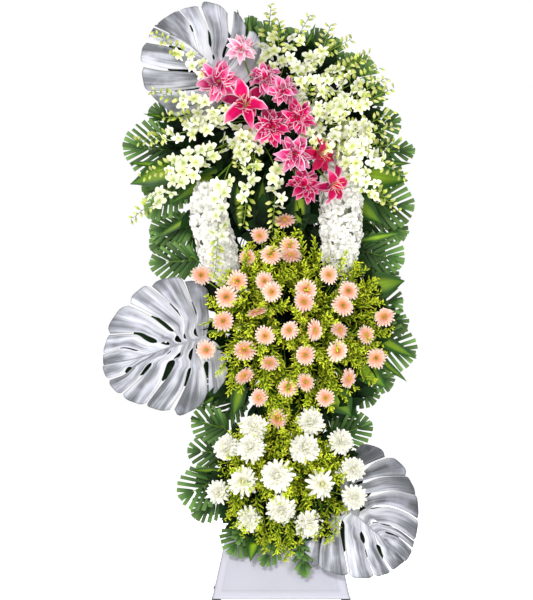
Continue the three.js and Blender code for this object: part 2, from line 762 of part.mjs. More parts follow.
const LILIES = {
  lilies_upper_left: {
    root: [5, 1640],
    heads: [[-58, 1817, 70, 48, false], [-128, 1718, 60, 66, true], [-42, 1650, 50, 78, false]],
  },
  lilies_upper: { root: [60, 1645], heads: [[17, 1735, 50, 54, true], [86, 1692, 40, 50, true]] },
  lilies_middle: { root: [65, 1585], heads: [[32, 1566, 30, 62, true], [118, 1592, 28, 56, true]] },
  lilies_right: {
    root: [130, 1560],
    heads: [[112, 1472, 40, 62, false], [209, 1474, 40, 58, false]],
  },
  lilies_lower: {
    root: [105, 1522],
    heads: [[142, 1380, 70, 56, true], [243, 1380, 86, 62, false]],
  },
};

// Orchid sprays: florets in a row along the stem, and buds at its end as [from the tip, radius].
const SPRAY = {
  floret: 19,
  stand: 10,
  spacing: 35,
  stem: 1.8,
  root: 2,
  buds: [[12, 3.8], [22, 1.2], [36, 5], [50, 1.5]],
};

/** Grows a floret of five petals out of one side of a stem or a core. */
function growFloret(skin, side, reach, stand) {
  const corners = side.map((number) => vector(...skin.points[number]));
  const middle = corners.reduce((sum, corner) => sum.add(corner), vector(0, 0, 0)).divideScalar(4);
  const wide = corners[1].clone().sub(corners[0]);
  const out = wide.cross(corners[3].clone().sub(corners[0])).normalize();
  const back = corners[0].clone().add(corners[1]).divideScalar(2).sub(middle).normalize();
  const frame = new THREE.Matrix4().makeBasis(back, out.clone().cross(back), out);
  frame.setPosition(middle.addScaledVector(out, stand));
  frame.multiply(new THREE.Matrix4().makeRotationZ(-Math.PI / 4));
  const edge = skin.loop(petalLoop(frame, 5, [[0, reach, 3], [0.5, reach * 0.42, 0]]));
  skin.join(side, edge);
  skin.closeFar(edge, vector(0, 0, 3).applyMatrix4(frame));
}

/** A spray of orchids on an arching stem. */
function orchidSpray(start, { via, tip, florets = 4 }) {
  const end = vector(...tip);
  const path = new THREE.CatmullRomCurve3([start, vector(...via), end]);
  const length = path.getLength();
  const bare = SPRAY.buds[SPRAY.buds.length - 1][0];
  const stations = [...SPRAY.buds];
  for (let i = 1; i <= florets; i += 1) stations.push([bare + SPRAY.spacing * i, SPRAY.stem]);
  stations.push([length, SPRAY.root]);
  const skin = new Skin();
  let near = null;
  stations.reverse().forEach(([fromTip, radius], row) => {
    const share = 1 - fromTip / length;
    const place = path.getPointAt(share);
    const far = skin.loop(stemLoop(place, path.getTangentAt(share), TOWARDS_VIEWER, radius));
    if (near === null) {
      skin.closeNear(far, place);
    } else {
      skin.joinSides(near, far, (side, i) => {
        const bears = row > 1 && row <= florets + 1 && i === (row % 2 ? 0 : 2);
        if (bears) growFloret(skin, side, SPRAY.floret, SPRAY.stand);
        return bears;
      });
    }
    near = far;
  });
  skin.closeFar(near, end);
  return skin.geometry;
}

// Each spray: a place half way along it and its tip, as [x, y, z].
const SPRAYS = {
  orchids_top: {
    root: [45, 1665],
    sprays: [
      { via: [22, -135, 1790], tip: [38, -96, 1985], florets: 3 },
      { via: [95, -150, 1810], tip: [170, -110, 1946] },
      { via: [150, -160, 1770], tip: [312, -110, 1868] },
    ],
  },
  orchids_upper_right: {
    root: [135, 1655],
    sprays: [
      { via: [215, -165, 1725], tip: [343, -125, 1806] },
      { via: [245, -160, 1680], tip: [404, -120, 1768] },
      { via: [275, -155, 1625], tip: [450, -118, 1700] },
    ],
  },
  orchids_right: {
    root: [158, 1600],
    sprays: [
      { via: [300, -150, 1560], tip: [446, -112, 1622] },
      { via: [310, -150, 1500], tip: [472, -110, 1518] },
      { via: [325, -165, 1420], tip: [462, -130, 1285] },
    ],
  },
  orchids_left: {
    root: [-15, 1600],
    sprays: [
      { via: [-170, -150, 1740], tip: [-356, -118, 1888] },
      { via: [-190, -160, 1640], tip: [-366, -125, 1690] },
      { via: [-200, -150, 1560], tip: [-418, -110, 1520] },
    ],
  },
  orchids_hanging: {
    root: [-10, 1545],
    sprays: [
      { via: [-180, -150, 1460], tip: [-436, -110, 1255] },
      { via: [-115, -180, 1400], tip: [-150, -165, 1070] },
      { via: [-30, -170, 1440], tip: [-56, -120, 1230], florets: 3 },
      { via: [50, -160, 1420], tip: [40, -110, 1205], florets: 3 },
    ],
  },
};

// The core's size in each row of a hanging column, as a share of its section
const COLUMN_SWELL = [0.6, 0.95, 1, 1, 1, 0.95, 0.85, 0.6];
const COLUMN = { sides: 6, floret: 21, stand: 12, tail: 14, holder: 3, holderShare: 0.08 };

/** A hanging column of florets round an oval core. Its section is [half width, half depth]. */
function floretColumn(root, line, [halfWidth, halfDepth]) {
  const path = new THREE.CatmullRomCurve3(line.map((point) => vector(...point)));
  const { sides } = COLUMN;
  const rows = COLUMN_SWELL.length - 1;
  const skin = new Skin();
  let near = null;
  for (let row = 0; row <= rows; row += 1) {
    const along = path.getTangentAt(row / rows);
    const level = TOWARDS_VIEWER.clone().addScaledVector(along, along.y).normalize();
    const upright = along.clone().cross(level);
    const corners = Array.from({ length: sides }, (_, i) => {
      const angle = ((i - 0.5) * 2 * Math.PI) / sides;
      const corner = path.getPointAt(row / rows);
      corner.addScaledVector(level, halfDepth * COLUMN_SWELL[row] * Math.cos(angle));
      return corner.addScaledVector(upright, halfWidth * COLUMN_SWELL[row] * Math.sin(angle));
    });
    const far = skin.loop(corners);
    if (near === null) {
      skin.closeNear(far, path.getPointAt(0));
    } else {
      skin.joinSides(near, far, (side, i) => {
        const bears = [0, 1, sides - 1].includes(i);
        if (bears) growFloret(skin, side, COLUMN.floret, COLUMN.stand);
        return bears;
      });
    }
    near = far;
  }
  skin.closeFar(near, path.getPointAt(1).add(vector(0, 0, -COLUMN.tail)));
  const held = [root.start, path.getPointAt(0), path.getPointAt(COLUMN.holderShare)];
  const holder = bar(held, COLUMN.holder, 3, 4);
  return joined([root.geometry, holder, skin.geometry]);
}

const COLUMNS = {
  column_left: {
    root: ["top", "front", -18, 1524],
    line: [[-168, -98, 1375], [-168, -96, 1260], [-138, -84, 1150], [-108, -70, 1062]],
    section: [50, 26],
  },
  column_right: {
    root: ["top", "front", 158, 1524],
    line: [[285, -94, 1490], [268, -98, 1350], [272, -88, 1210], [260, -72, 1088]],
    section: [52, 26],
  },
};

/** Numbers from 0 to 1 that look random and are the same each time. */
function seeded(seed) {
  let state = seed;
  return () => {
    state = (state * 16807) % 2147483647;
    return state / 2147483647;
  };
}

const TWIG = { radius: 1.4, triesEach: 15, sunk: 22, sunkSpread: 18, core: 0.08 };

/** Goldenrod that fills a sector of a tier between the flowers, kept clear of the other solids. */
function filler({ tier, root, sector, reach, wanted, seed }, taken) {
  const random = seeded(seed);
  const { geometry, start } = rootIn(tier, "front", ...root);
  const dome = DOMES[tier];
  let plant = solidOf(geometry);
  let placed = 0;
  for (let tries = 0; placed < wanted && tries < wanted * TWIG.triesEach; tries += 1) {
    const angle = THREE.MathUtils.degToRad(sector[0] + (sector[1] - sector[0]) * random());
    const out = Math.sqrt(TWIG.core + (1 - TWIG.core) * random());
    const x = dome.x + out * reach[0] * Math.cos(angle);
    const z = dome.z + out * reach[1] * Math.sin(angle);
    const { place } = onDome(dome, x, z, -TWIG.sunk - TWIG.sunkSpread * random());
    const frame = frameAt(place, place.clone().sub(start).normalize(), random() * 3);
    const twig = solidOf(headOnStem(start, frame, 0, TWIG.radius, goldenrod));
    if (taken.every((other) => twig.intersect(other).isEmpty())) {
      plant = plant.add(twig);
      placed += 1;
    }
  }
  return plant;
}

const FILLERS = {
  goldenrod_mid_left: {
    tier: "mid", root: [-24, 958], sector: [95, 265], reach: [330, 340], wanted: 9, seed: 11,
  },
  goldenrod_mid_right: {
    tier: "mid", root: [158, 905], sector: [-85, 85], reach: [330, 330], wanted: 9, seed: 23,
  },
  goldenrod_low_left: {
    tier: "low", root: [-10, 425], sector: [95, 265], reach: [240, 190], wanted: 6, seed: 37,
  },
  goldenrod_low_right: {
    tier: "low", root: [150, 425], sector: [-85, 85], reach: [250, 190], wanted: 6, seed: 41,
  },
};

// Assembly

const spray = new THREE.Group();
const solids = [];

function add(name, solid, material) {
  solids.push(solid);
  spray.add(meshOf(name, solid, material));
}

const platform = boxBetween(
  [STAND_X - PLATFORM.halfWidth, PLATFORM.front, PLATFORM.top - PLATFORM.thickness],
  [STAND_X + PLATFORM.halfWidth, PLATFORM.back, PLATFORM.top],
);
add("platform", solidOf(platform), WHITE_STEEL);
for (const [end, foot] of [["front", FRONT_FOOT], ["rear", REAR_FOOT]]) {
  for (const [hand, side] of [["left", -1], ["right", 1]]) {
    add(`leg_${end}_${hand}`, leg(side, foot), WHITE_STEEL);
    add(`foot_${end}_${hand}`, rubberFoot(side, foot), BLACK_RUBBER);
  }
}
add("front_panel", frontPanel(), WHITE_PANEL);
add("mast", mast(), WHITE_STEEL);

const LEAF_KINDS = [
  [SILVER_LEAVES, splitLeaf, SILVER_LEAF],
  [PALMS, fanBlade, PALM_GREEN],
  [STRAPS, strapLeaf, STRIPED_GREEN],
];
for (const [nodes, makeBlade, material] of LEAF_KINDS) {
  for (const [name, { root, leaves }] of Object.entries(nodes)) {
    add(name, leafNode(rootIn(...root), leaves, makeBlade), material);
  }
}
for (const [name, { root, line, section }] of Object.entries(COLUMNS)) {
  add(name, floretColumn(rootIn(...root), line, section), ORCHID_WHITE);
}
const FLOWER_KINDS = [
  ["mid", GERBERAS, { sink: 9, stem: 1.8, grow: gerbera }, GERBERA_PEACH],
  ["low", MUMS, { sink: (size) => size * 0.5, stem: 2.2, grow: chrysanthemum }, MUM_WHITE],
  ["top", LILIES, { sink: (size) => size * 0.42, stem: 2.6, grow: lily }, LILY_PINK],
];
for (const [tier, nodes, kind, material] of FLOWER_KINDS) {
  for (const [name, { root, heads }] of Object.entries(nodes)) {
    add(name, bunch(tier, root, heads, kind), material);
  }
}
for (const [name, { root, sprays }] of Object.entries(SPRAYS)) {
  const { geometry, start } = rootIn("top", "front", ...root);
  add(name, joined([geometry, ...sprays.map((one) => orchidSpray(start, one))]), ORCHID_WHITE);
}
for (const [name, settings] of Object.entries(FILLERS)) {
  add(name, filler(settings, [...solids]), GOLDENROD);
}
for (const tier of Object.keys(FOAMS)) {
  add(`tray_${tier}`, tray(FOAMS[tier]), GREEN_PLASTIC);
  add(`foam_${tier}`, foamBlock(tier), GREEN_FOAM);
}

export default spray;
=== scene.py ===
"""Looks of a standing funeral spray: fine petals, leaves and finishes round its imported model.

Lengths are in metres, and the long lists of places are in millimetres, which MM brings to metres.
"""

import logging
import math
from collections.abc import Callable, Iterator
from dataclasses import dataclass
from enum import Enum
from functools import cache, partial

import bpy
import numpy as np
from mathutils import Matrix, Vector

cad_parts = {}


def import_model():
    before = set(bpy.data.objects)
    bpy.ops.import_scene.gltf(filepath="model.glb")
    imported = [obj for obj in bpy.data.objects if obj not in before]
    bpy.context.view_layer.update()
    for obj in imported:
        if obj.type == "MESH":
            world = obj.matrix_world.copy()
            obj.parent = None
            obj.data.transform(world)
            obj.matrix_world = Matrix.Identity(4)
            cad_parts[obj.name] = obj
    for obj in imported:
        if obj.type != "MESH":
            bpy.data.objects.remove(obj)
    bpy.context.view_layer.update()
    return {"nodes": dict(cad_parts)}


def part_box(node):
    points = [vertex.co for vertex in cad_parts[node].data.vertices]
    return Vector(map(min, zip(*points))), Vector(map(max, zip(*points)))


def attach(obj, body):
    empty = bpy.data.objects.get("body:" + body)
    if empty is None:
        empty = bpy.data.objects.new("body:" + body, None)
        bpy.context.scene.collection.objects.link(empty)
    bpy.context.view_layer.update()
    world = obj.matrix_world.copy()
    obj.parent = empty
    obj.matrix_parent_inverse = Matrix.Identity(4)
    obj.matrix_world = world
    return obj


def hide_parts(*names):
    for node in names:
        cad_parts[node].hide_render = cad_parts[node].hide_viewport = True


MM = 0.001
PIXEL = 0.01 / 3  # what one pixel of the photo covers
PHOTO_ZERO = (260, 598)  # the photo's column and row at the middle of the floor
VIEWER = np.array([0.0, -1.0, 0.0])
UPWARD = np.array([0.0, 0.0, 1.0])
STEEP = 0.95  # a direction with more than this upwards has its own level one
GOLDEN_ANGLE = math.pi * (3 - math.sqrt(5))
SHARP_ANGLE = math.radians(62)
Array = np.ndarray
Random = np.random.Generator
LOG = logging.getLogger("spray")


# Small helpers


def unit(vectors: Array) -> Array:
    """The vectors at length 1."""
    return vectors / np.linalg.norm(vectors, axis=-1, keepdims=True)


def smooth(value: Array, low: float, high: float) -> Array:
    """0 below low and 1 above high, with a smooth step between."""
    share = np.clip((value - low) / (high - low), 0, 1)
    return share * share * (3 - 2 * share)


def tint(code: str) -> tuple[float, float, float, float]:
    """The linear colour of a six-digit screen colour.

    A part up to 0.04045 is divided by 12.92, and any other is ((part + 0.055) / 1.055) ^ 2.4.
    """
    parts = (int(code[i : i + 2], 16) / 255 for i in (1, 3, 5))
    linear = [part / 12.92 if part < 0.04045 else ((part + 0.055) / 1.055) ** 2.4 for part in parts]
    return (*linear, 1.0)


def from_photo(places: Array) -> Array:
    """Metres to the right and up from pixels of the photo."""
    return (places - PHOTO_ZERO) * [PIXEL, -PIXEL]


def square_to(vectors: Array, axes: Array) -> Array:
    """The unit directions nearest to the vectors that lie square to the axes."""
    return unit(vectors - (vectors * axes).sum(-1, keepdims=True) * axes)


def column(value: Array | float, count: int) -> Array:
    """One number, or one a copy, as a column of that many rows."""
    return np.broadcast_to(np.asarray(value, float), (count,))[:, None]


def run_of(path: Array) -> Array:
    """How far along a path each of its points lies."""
    return np.concatenate([[0], np.cumsum(np.linalg.norm(np.diff(path, axis=0), axis=1))])


def sample(path: Array, run: Array, far: Array) -> Array:
    """The places at given distances along a path, whose own points lie at the distances run."""
    return np.stack([np.interp(far, run, line) for line in path.T], -1)


def ringed(over: Array, under: Array) -> Array:
    """Rings that run over the upper side and back under the lower one, and share its ends."""
    return np.concatenate([over, under[:, -2:0:-1]], axis=1)


def frames(outward: Array) -> tuple[Array, Array]:
    """Two directions across each outward one: level to the right, and up.

    Args:
        outward: unit vectors, one a row.

    Returns:
        The level directions and the upper ones, so that level x upper = outward.
    """
    helper = np.where(np.abs(outward[:, 2:]) > STEEP, -VIEWER, UPWARD)
    level = unit(np.cross(helper, outward))
    return level, np.cross(outward, level)


# Shader work


class Socket:
    """A shader value that adds a Math node for each operator used on it."""

    def __init__(self, bench: "Bench", output: bpy.types.NodeSocket) -> None:
        """Wraps an output of the bench's node tree."""
        self.bench = bench
        self.output = output

    def __add__(self, other: "Socket | float") -> "Socket":
        """The sum."""
        return self.bench.maths("ADD", self, other)

    __radd__ = __add__

    def __sub__(self, other: "Socket | float") -> "Socket":
        """The difference."""
        return self.bench.maths("SUBTRACT", self, other)

    def __rsub__(self, other: float) -> "Socket":
        """The difference, with the number first."""
        return self.bench.maths("SUBTRACT", other, self)

    def __mul__(self, other: "Socket | float") -> "Socket":
        """The product."""
        return self.bench.maths("MULTIPLY", self, other)

    __rmul__ = __mul__


class Bench:
    """Makes the nodes of one material."""

    BUMP = 0.6  # the strength of every bump

    def __init__(self, name: str) -> None:
        """Starts a material with an empty tree."""
        self.material = bpy.data.materials.new(name)
        self.material.use_nodes = True
        self.tree = self.material.node_tree
        self.tree.nodes.clear()

    def node(self, kind: str, settings: dict | None = None, inputs: dict | None = None) -> bpy.types.Node:
        """Adds one node.

        Args:
            kind: the node's type.
            settings: its settings; "stops" fills a ramp with (place, colour) pairs.
            inputs: values, or sockets to link, by the name or number of the input.

        Returns:
            The node.
        """
        made = self.tree.nodes.new(kind)
        for key, value in (settings or {}).items():
            if key == "stops":
                self._fill(made.color_ramp, value)
            else:
                setattr(made, key, value)
        for key, value in (inputs or {}).items():
            if isinstance(value, Socket):
                self.tree.links.new(value.output, made.inputs[key])
            else:
                made.inputs[key].default_value = value
        return made

    @staticmethod
    def _fill(ramp: bpy.types.ColorRamp, stops: tuple) -> None:
        """Gives a ramp its stops."""
        while len(ramp.elements) < len(stops):
            ramp.elements.new(0.5)
        for element, (place, colour) in zip(ramp.elements, stops):
            element.position = place
            element.color = colour

    def maths(self, operation: str, *values: "Socket | float") -> Socket:
        """A Math node on one or more values."""
        made = self.node("ShaderNodeMath", {"operation": operation}, dict(enumerate(values)))
        return Socket(self, made.outputs[0])

    def mark(self, name: str) -> Socket:
        """What a piece's points carry under a name."""
        made = self.node("ShaderNodeAttribute", {"attribute_name": name})
        return Socket(self, made.outputs["Fac"])

    def place(self) -> Socket:
        """The place on the object, in metres."""
        return Socket(self, self.node("ShaderNodeTexCoord").outputs["Object"])

    def vector(self, x: "Socket | float", y: "Socket | float", z: "Socket | float") -> Socket:
        """A vector from three values."""
        return Socket(self, self.node("ShaderNodeCombineXYZ", None, {0: x, 1: y, 2: z}).outputs[0])

    def noise(self, vector: Socket, scale: float, detail: float = 2.0) -> Socket:
        """Soft noise round 0.5."""
        inputs = {"Vector": vector, "Scale": scale, "Detail": detail}
        return Socket(self, self.node("ShaderNodeTexNoise", None, inputs).outputs["Fac"])

    def ramp(self, factor: Socket, *stops: tuple[float, tuple]) -> Socket:
        """A colour that changes with a value."""
        made = self.node("ShaderNodeValToRGB", {"stops": stops}, {0: factor})
        return Socket(self, made.outputs[0])

    def step(self, value: Socket, low: float, high: float) -> Socket:
        """0 below low and 1 above high, with a smooth step between."""
        settings = {"interpolation_type": "SMOOTHSTEP"}
        made = self.node("ShaderNodeMapRange", settings, {0: value, 1: low, 2: high, 3: 0.0, 4: 1.0})
        return Socket(self, made.outputs[0])

    def mix(self, factor: "Socket | float", first: "Socket | tuple", second: "Socket | tuple") -> Socket:
        """A colour between two."""
        made = self.node("ShaderNodeMix", {"data_type": "RGBA"}, {0: factor, 6: first, 7: second})
        return Socket(self, made.outputs[2])

    def dim(self, colour: Socket, factor: Socket) -> Socket:
        """A colour times a value."""
        made = self.node("ShaderNodeVectorMath", {"operation": "SCALE"}, {0: colour, "Scale": factor})
        return Socket(self, made.outputs[0])

    def finish(
        self, colour: Socket, roughness: Socket, height: Socket, depth: float, **fixed: object
    ) -> bpy.types.Material:
        """Closes the material with its shader.

        Args:
            colour: the base colour.
            roughness: the roughness.
            height: what the bump follows.
            depth: the height of the bump, in metres.
            fixed: other inputs of the shader.

        Returns:
            The material.
        """
        inputs = {"Strength": self.BUMP, "Distance": depth, "Height": height}
        normal = Socket(self, self.node("ShaderNodeBump", None, inputs).outputs[0])
        inputs = {"Base Color": colour, "Roughness": roughness, "Normal": normal, **fixed}
        shader = self.node("ShaderNodeBsdfPrincipled", None, inputs)
        self.node("ShaderNodeOutputMaterial", None, {"Surface": Socket(self, shader.outputs[0])})
        return self.material


@dataclass(frozen=True)
class Petal:
    """The finish of a petal, leaf, bud or stem: colours along it and at its margin."""

    name: str
    root: str
    body: str
    tip: str
    belt: float = 0.4  # how far along the body's colour starts
    hold: float = 0.0  # how far along it ends, if not there
    margin: str = "#ffffff"
    margin_share: float = 0.0  # how strong the margin's colour is
    margin_from: float = 0.7  # how far across the margin starts
    margin_to: float = 1.0  # how far across it is at its strongest
    other: str = ""  # the colour that some of them have instead of the body's
    veins: float = 7.0  # streaks across
    streak: float = 0.25  # how much the streaks change the brightness
    play: float = 0.3  # how much the brightness differs from one to the next
    roughness: float = 0.5
    gloss: float = 0.25  # how strongly it mirrors, 0.5 being glass
    glow: float = 0.0  # painted light: a glow of the finish's own colour, as a share of white, for light through it and lightening its shade

    RELIEF = 0.0006  # the height of their bump

    @cache
    def material(self) -> bpy.types.Material:
        """The colour runs from root to tip, is streaked lengthwise, and is its own on each one."""
        bench = Bench(self.name)
        along, across, tone = (bench.mark(name) for name in Surface.MARKS)
        side = bench.maths("ABSOLUTE", across)
        spot = bench.vector(across * self.veins, along * 1.4, tone * 70.0)
        streaks = bench.noise(spot, 1.0, 3.0)
        colour = self._run(bench, along, self.body)
        if self.other:
            choice = bench.noise(bench.vector(tone * 90.0, 3.0, 5.0), 1.0)
            chosen = bench.step(choice, 0.42, 0.58)
            colour = bench.mix(chosen, colour, self._run(bench, along, self.other))
        if self.margin_share:
            edge = bench.step(side + (streaks - 0.5) * 0.3, self.margin_from, self.margin_to)
            colour = bench.mix(edge * self.margin_share, colour, tint(self.margin))
        level = (streaks - 0.5) * self.streak + (tone - 0.5) * self.play + 1.0
        roughness = streaks * 0.2 + (self.roughness - 0.2 / 2)
        colour = bench.dim(colour, level)
        fixed = {"Specular IOR Level": self.gloss}
        # Painted light: the finish glows in its own colour, which lightens its shade.
        if self.glow:
            fixed |= {"Emission Color": colour, "Emission Strength": self.glow}
        return bench.finish(colour, roughness, streaks, self.RELIEF, **fixed)

    def _run(self, bench: Bench, along: Socket, body: str) -> Socket:
        """The colours from root to tip, with the body's held over its stretch."""
        stops = [(0.0, tint(self.root)), (self.belt, tint(body)), (1.0, tint(self.tip))]
        if self.hold:
            stops.insert(2, (self.hold, tint(body)))
        return bench.ramp(along, *stops)


@dataclass(frozen=True)
class SilverPaint:
    """Silver paint brushed along the lobes of a leaf."""

    name: str = "silver paint"
    colours: tuple[str, ...] = ("#5a5d62", "#84878d", "#bdbfc8", "#e6e7ec")
    levels: tuple[float, ...] = (0.42, 0.57, 0.7, 0.86)  # the brightness at which each colour lies
    lavender: str = "#cfcfe2"  # what blotches lean to
    line: str = "#45484c"  # painted shade: the thin dark line along the margin and at each lobe's end
    metallic: float = 0.15
    relief: float = 0.0012  # the height of the bump

    @cache
    def material(self) -> bpy.types.Material:
        """Streaks run along a lobe, painted shade and highlight shape it, and painted shade lines its
        margin.
        """
        bench = Bench(self.name)
        along, across, tone = (bench.mark(name) for name in Surface.MARKS)
        fine = bench.noise(bench.vector(across * 9.0, along * 1.2, tone * 60.0), 1.0, 4.0)
        broad = bench.noise(bench.vector(across * 1.3, along * 1.5, tone * 37.0), 1.0, 2.0)
        blotch = bench.noise(bench.place(), 11.0, 3.0)
        side = bench.maths("ABSOLUTE", across)
        level = (fine - 0.5) * 0.34 + (broad - 0.5) * 0.8 + (blotch - 0.5) * 0.3
        # Painted shade: each lobe darker towards one side and towards its tip; the tone term differs at
        # random from lobe to lobe.
        level = level - across * 0.07 - along * along * 0.2 + (tone - 0.5) * 0.16
        # Painted highlight: a lighter band along each side of a lobe, near its margin.
        level = level + bench.step(side, 0.6, 0.88) * 0.1 + 0.72
        colour = bench.ramp(level, *zip(self.levels, map(tint, self.colours)))
        colour = bench.mix(bench.step(blotch, 0.5, 0.75) * 0.5, colour, tint(self.lavender))
        # Painted shade: a thin dark line along the margin and at the end of each lobe.
        rim = bench.step(side, 0.93, 1.0) * 0.6
        end = bench.step(along, 0.972, 1.0) * 0.55
        colour = bench.mix(bench.maths("MAXIMUM", rim, end), colour, tint(self.line))
        roughness = fine * 0.25 + 0.3
        return bench.finish(colour, roughness, fine + broad * 0.6, self.relief, Metallic=self.metallic)


@dataclass(frozen=True)
class Plain:
    """A made part's finish: one colour with a fine grain and faint wear."""

    name: str
    colour: str
    worn: str
    grain: float  # grains a metre
    depth: float  # the height of a grain
    roughness: float
    metallic: float = 0.0
    glow: float = 0.0  # white light that it gives off
    hem: str = ""  # the colour where the tone mark is 1
    rim: str = ""  # the colour where the across mark is 1: painted shade along a rounded edge

    DRIFT = 9.0  # patches of wear a metre

    @cache
    def material(self) -> bpy.types.Material:
        """The colour drifts a little over the part, and the grain is in its bump."""
        bench = Bench(self.name)
        place = bench.place()
        drift = bench.noise(place, self.DRIFT, 4.0)
        grain = bench.noise(place, self.grain, 2.0)
        colour = bench.mix(bench.step(drift, 0.45, 0.8) * 0.5, tint(self.colour), tint(self.worn))
        if self.hem:
            colour = bench.mix(bench.mark("tone"), colour, tint(self.hem))
            # Painted shade: the rim's darker colour along the rounded edge.
            colour = bench.mix(bench.mark("across"), colour, tint(self.rim))
        colour = bench.dim(colour, grain * 0.16 + (1 - 0.16 / 2))
        roughness = drift * 0.2 + grain * 0.1 + (self.roughness - 0.15)
        fixed = {"Metallic": self.metallic}
        if self.glow:
            fixed |= {"Emission Color": (1.0, 1.0, 1.0, 1.0), "Emission Strength": self.glow}
        return bench.finish(colour, roughness, grain, self.depth, **fixed)


# Mesh work


class Surface:
    """Points and faces gathered for one piece, with what its finish reads at each point."""

    MARKS = ("along", "across", "tone")

    def __init__(self) -> None:
        """Starts empty."""
        self.points: list[Array] = []
        self.marks: list[Array] = []
        self.corners: list[Array] = []
        self.sizes: list[Array] = []
        self.slots: list[Array] = []
        self.finishes: list = []
        self.count = 0

    def add(self, points: Array, marks: tuple, faces: list[Array], finish: object) -> None:
        """Adds copies of one form, each with points of its own.

        Args:
            points: a place for each copy and point of the form.
            marks: along, across and tone, each fitting that shape once broadcast.
            faces: for each number of corners, the form's faces as rows of point numbers.
            finish: what they are finished in.
        """
        copies, size = points.shape[:2]
        if finish not in self.finishes:
            self.finishes.append(finish)
        starts = self.count + size * np.arange(copies)
        for rows in faces:
            self.corners.append((rows[None] + starts[:, None, None]).ravel())
            self.sizes.append(np.full(copies * len(rows), rows.shape[1]))
            self.slots.append(np.full(copies * len(rows), self.finishes.index(finish)))
        self.points.append(points.reshape(-1, 3))
        spread = [np.broadcast_to(mark, (copies, size)).ravel() for mark in marks]
        self.marks.append(np.stack(spread))
        self.count += copies * size

    def publish(self, name: str, slot: str, *nodes: str) -> None:
        """Makes the mesh and puts it in the place of its nodes.

        Args:
            name: the piece's name.
            slot: the record's material slot; not used.
            nodes: the nodes that it stands for.
        """
        mesh = bpy.data.meshes.new(name)
        points = np.concatenate(self.points).astype(np.float32)
        corners = np.concatenate(self.corners).astype(np.int32)
        sizes = np.concatenate(self.sizes)
        mesh.vertices.add(len(points))
        mesh.vertices.foreach_set("co", points.ravel())
        mesh.loops.add(len(corners))
        mesh.loops.foreach_set("vertex_index", corners)
        mesh.polygons.add(len(sizes))
        mesh.polygons.foreach_set("loop_start", (np.cumsum(sizes) - sizes).astype(np.int32))
        mesh.polygons.foreach_set("material_index", np.concatenate(self.slots).astype(np.int32))
        mesh.update(calc_edges=True)
        mesh.validate()
        for mark, values in zip(self.MARKS, np.concatenate(self.marks, axis=1)):
            layer = mesh.attributes.new(mark, "FLOAT", "POINT")
            layer.data.foreach_set("value", values.astype(np.float32))
        for finish in self.finishes:
            mesh.materials.append(finish.material())
        mesh.shade_smooth()
        mesh.set_sharp_from_angle(angle=SHARP_ANGLE)
        piece = bpy.data.objects.new(name, mesh)
        bpy.context.scene.collection.objects.link(piece)
        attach(piece, "root")
        if nodes:
            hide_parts(*nodes)
        LOG.info("%s: %d points, %d triangles", name, len(points), int((sizes - 2).sum()))


def pieces(table: dict, seed: int, slot: str, form: str = "", own: bool = False) -> Iterator[tuple]:
    """Goes through a table of pieces, and publishes each one once its surface is filled.

    Args:
        table: what each piece is built from, by the name of its node.
        seed: the seed of the first one's random numbers; each next one's is 1 more.
        slot: the record's material slot.
        form: what its name starts with, before the node's.
        own: whether they are the scene's own and stand for no node.

    Yields:
        The name, what it is built from, its empty surface and its random numbers.
    """
    for number, (name, values) in enumerate(table.items()):
        surface = Surface()
        yield name, values, surface, np.random.default_rng(seed + number)
        surface.publish(form + name, slot, *(() if own else (name,)))


def skin(rows: int, ring: int) -> list[Array]:
    """The faces of a closed form swept through rows of an even ring of points.

    Point number k of row s is s * ring + k. A ring runs over the upper side from left to right
    and back under it, so its ends close with strips from side to side.
    """
    k = np.arange(ring)
    after = (k + 1) % ring
    starts = (np.arange(rows - 1) * ring)[:, None]
    walls = np.stack([starts + k, starts + ring + k, starts + ring + after, starts + after], -1)
    last = (rows - 1) * ring
    ends = np.stack([k, last + k[::-1]])
    return [walls.reshape(-1, 4), ends]


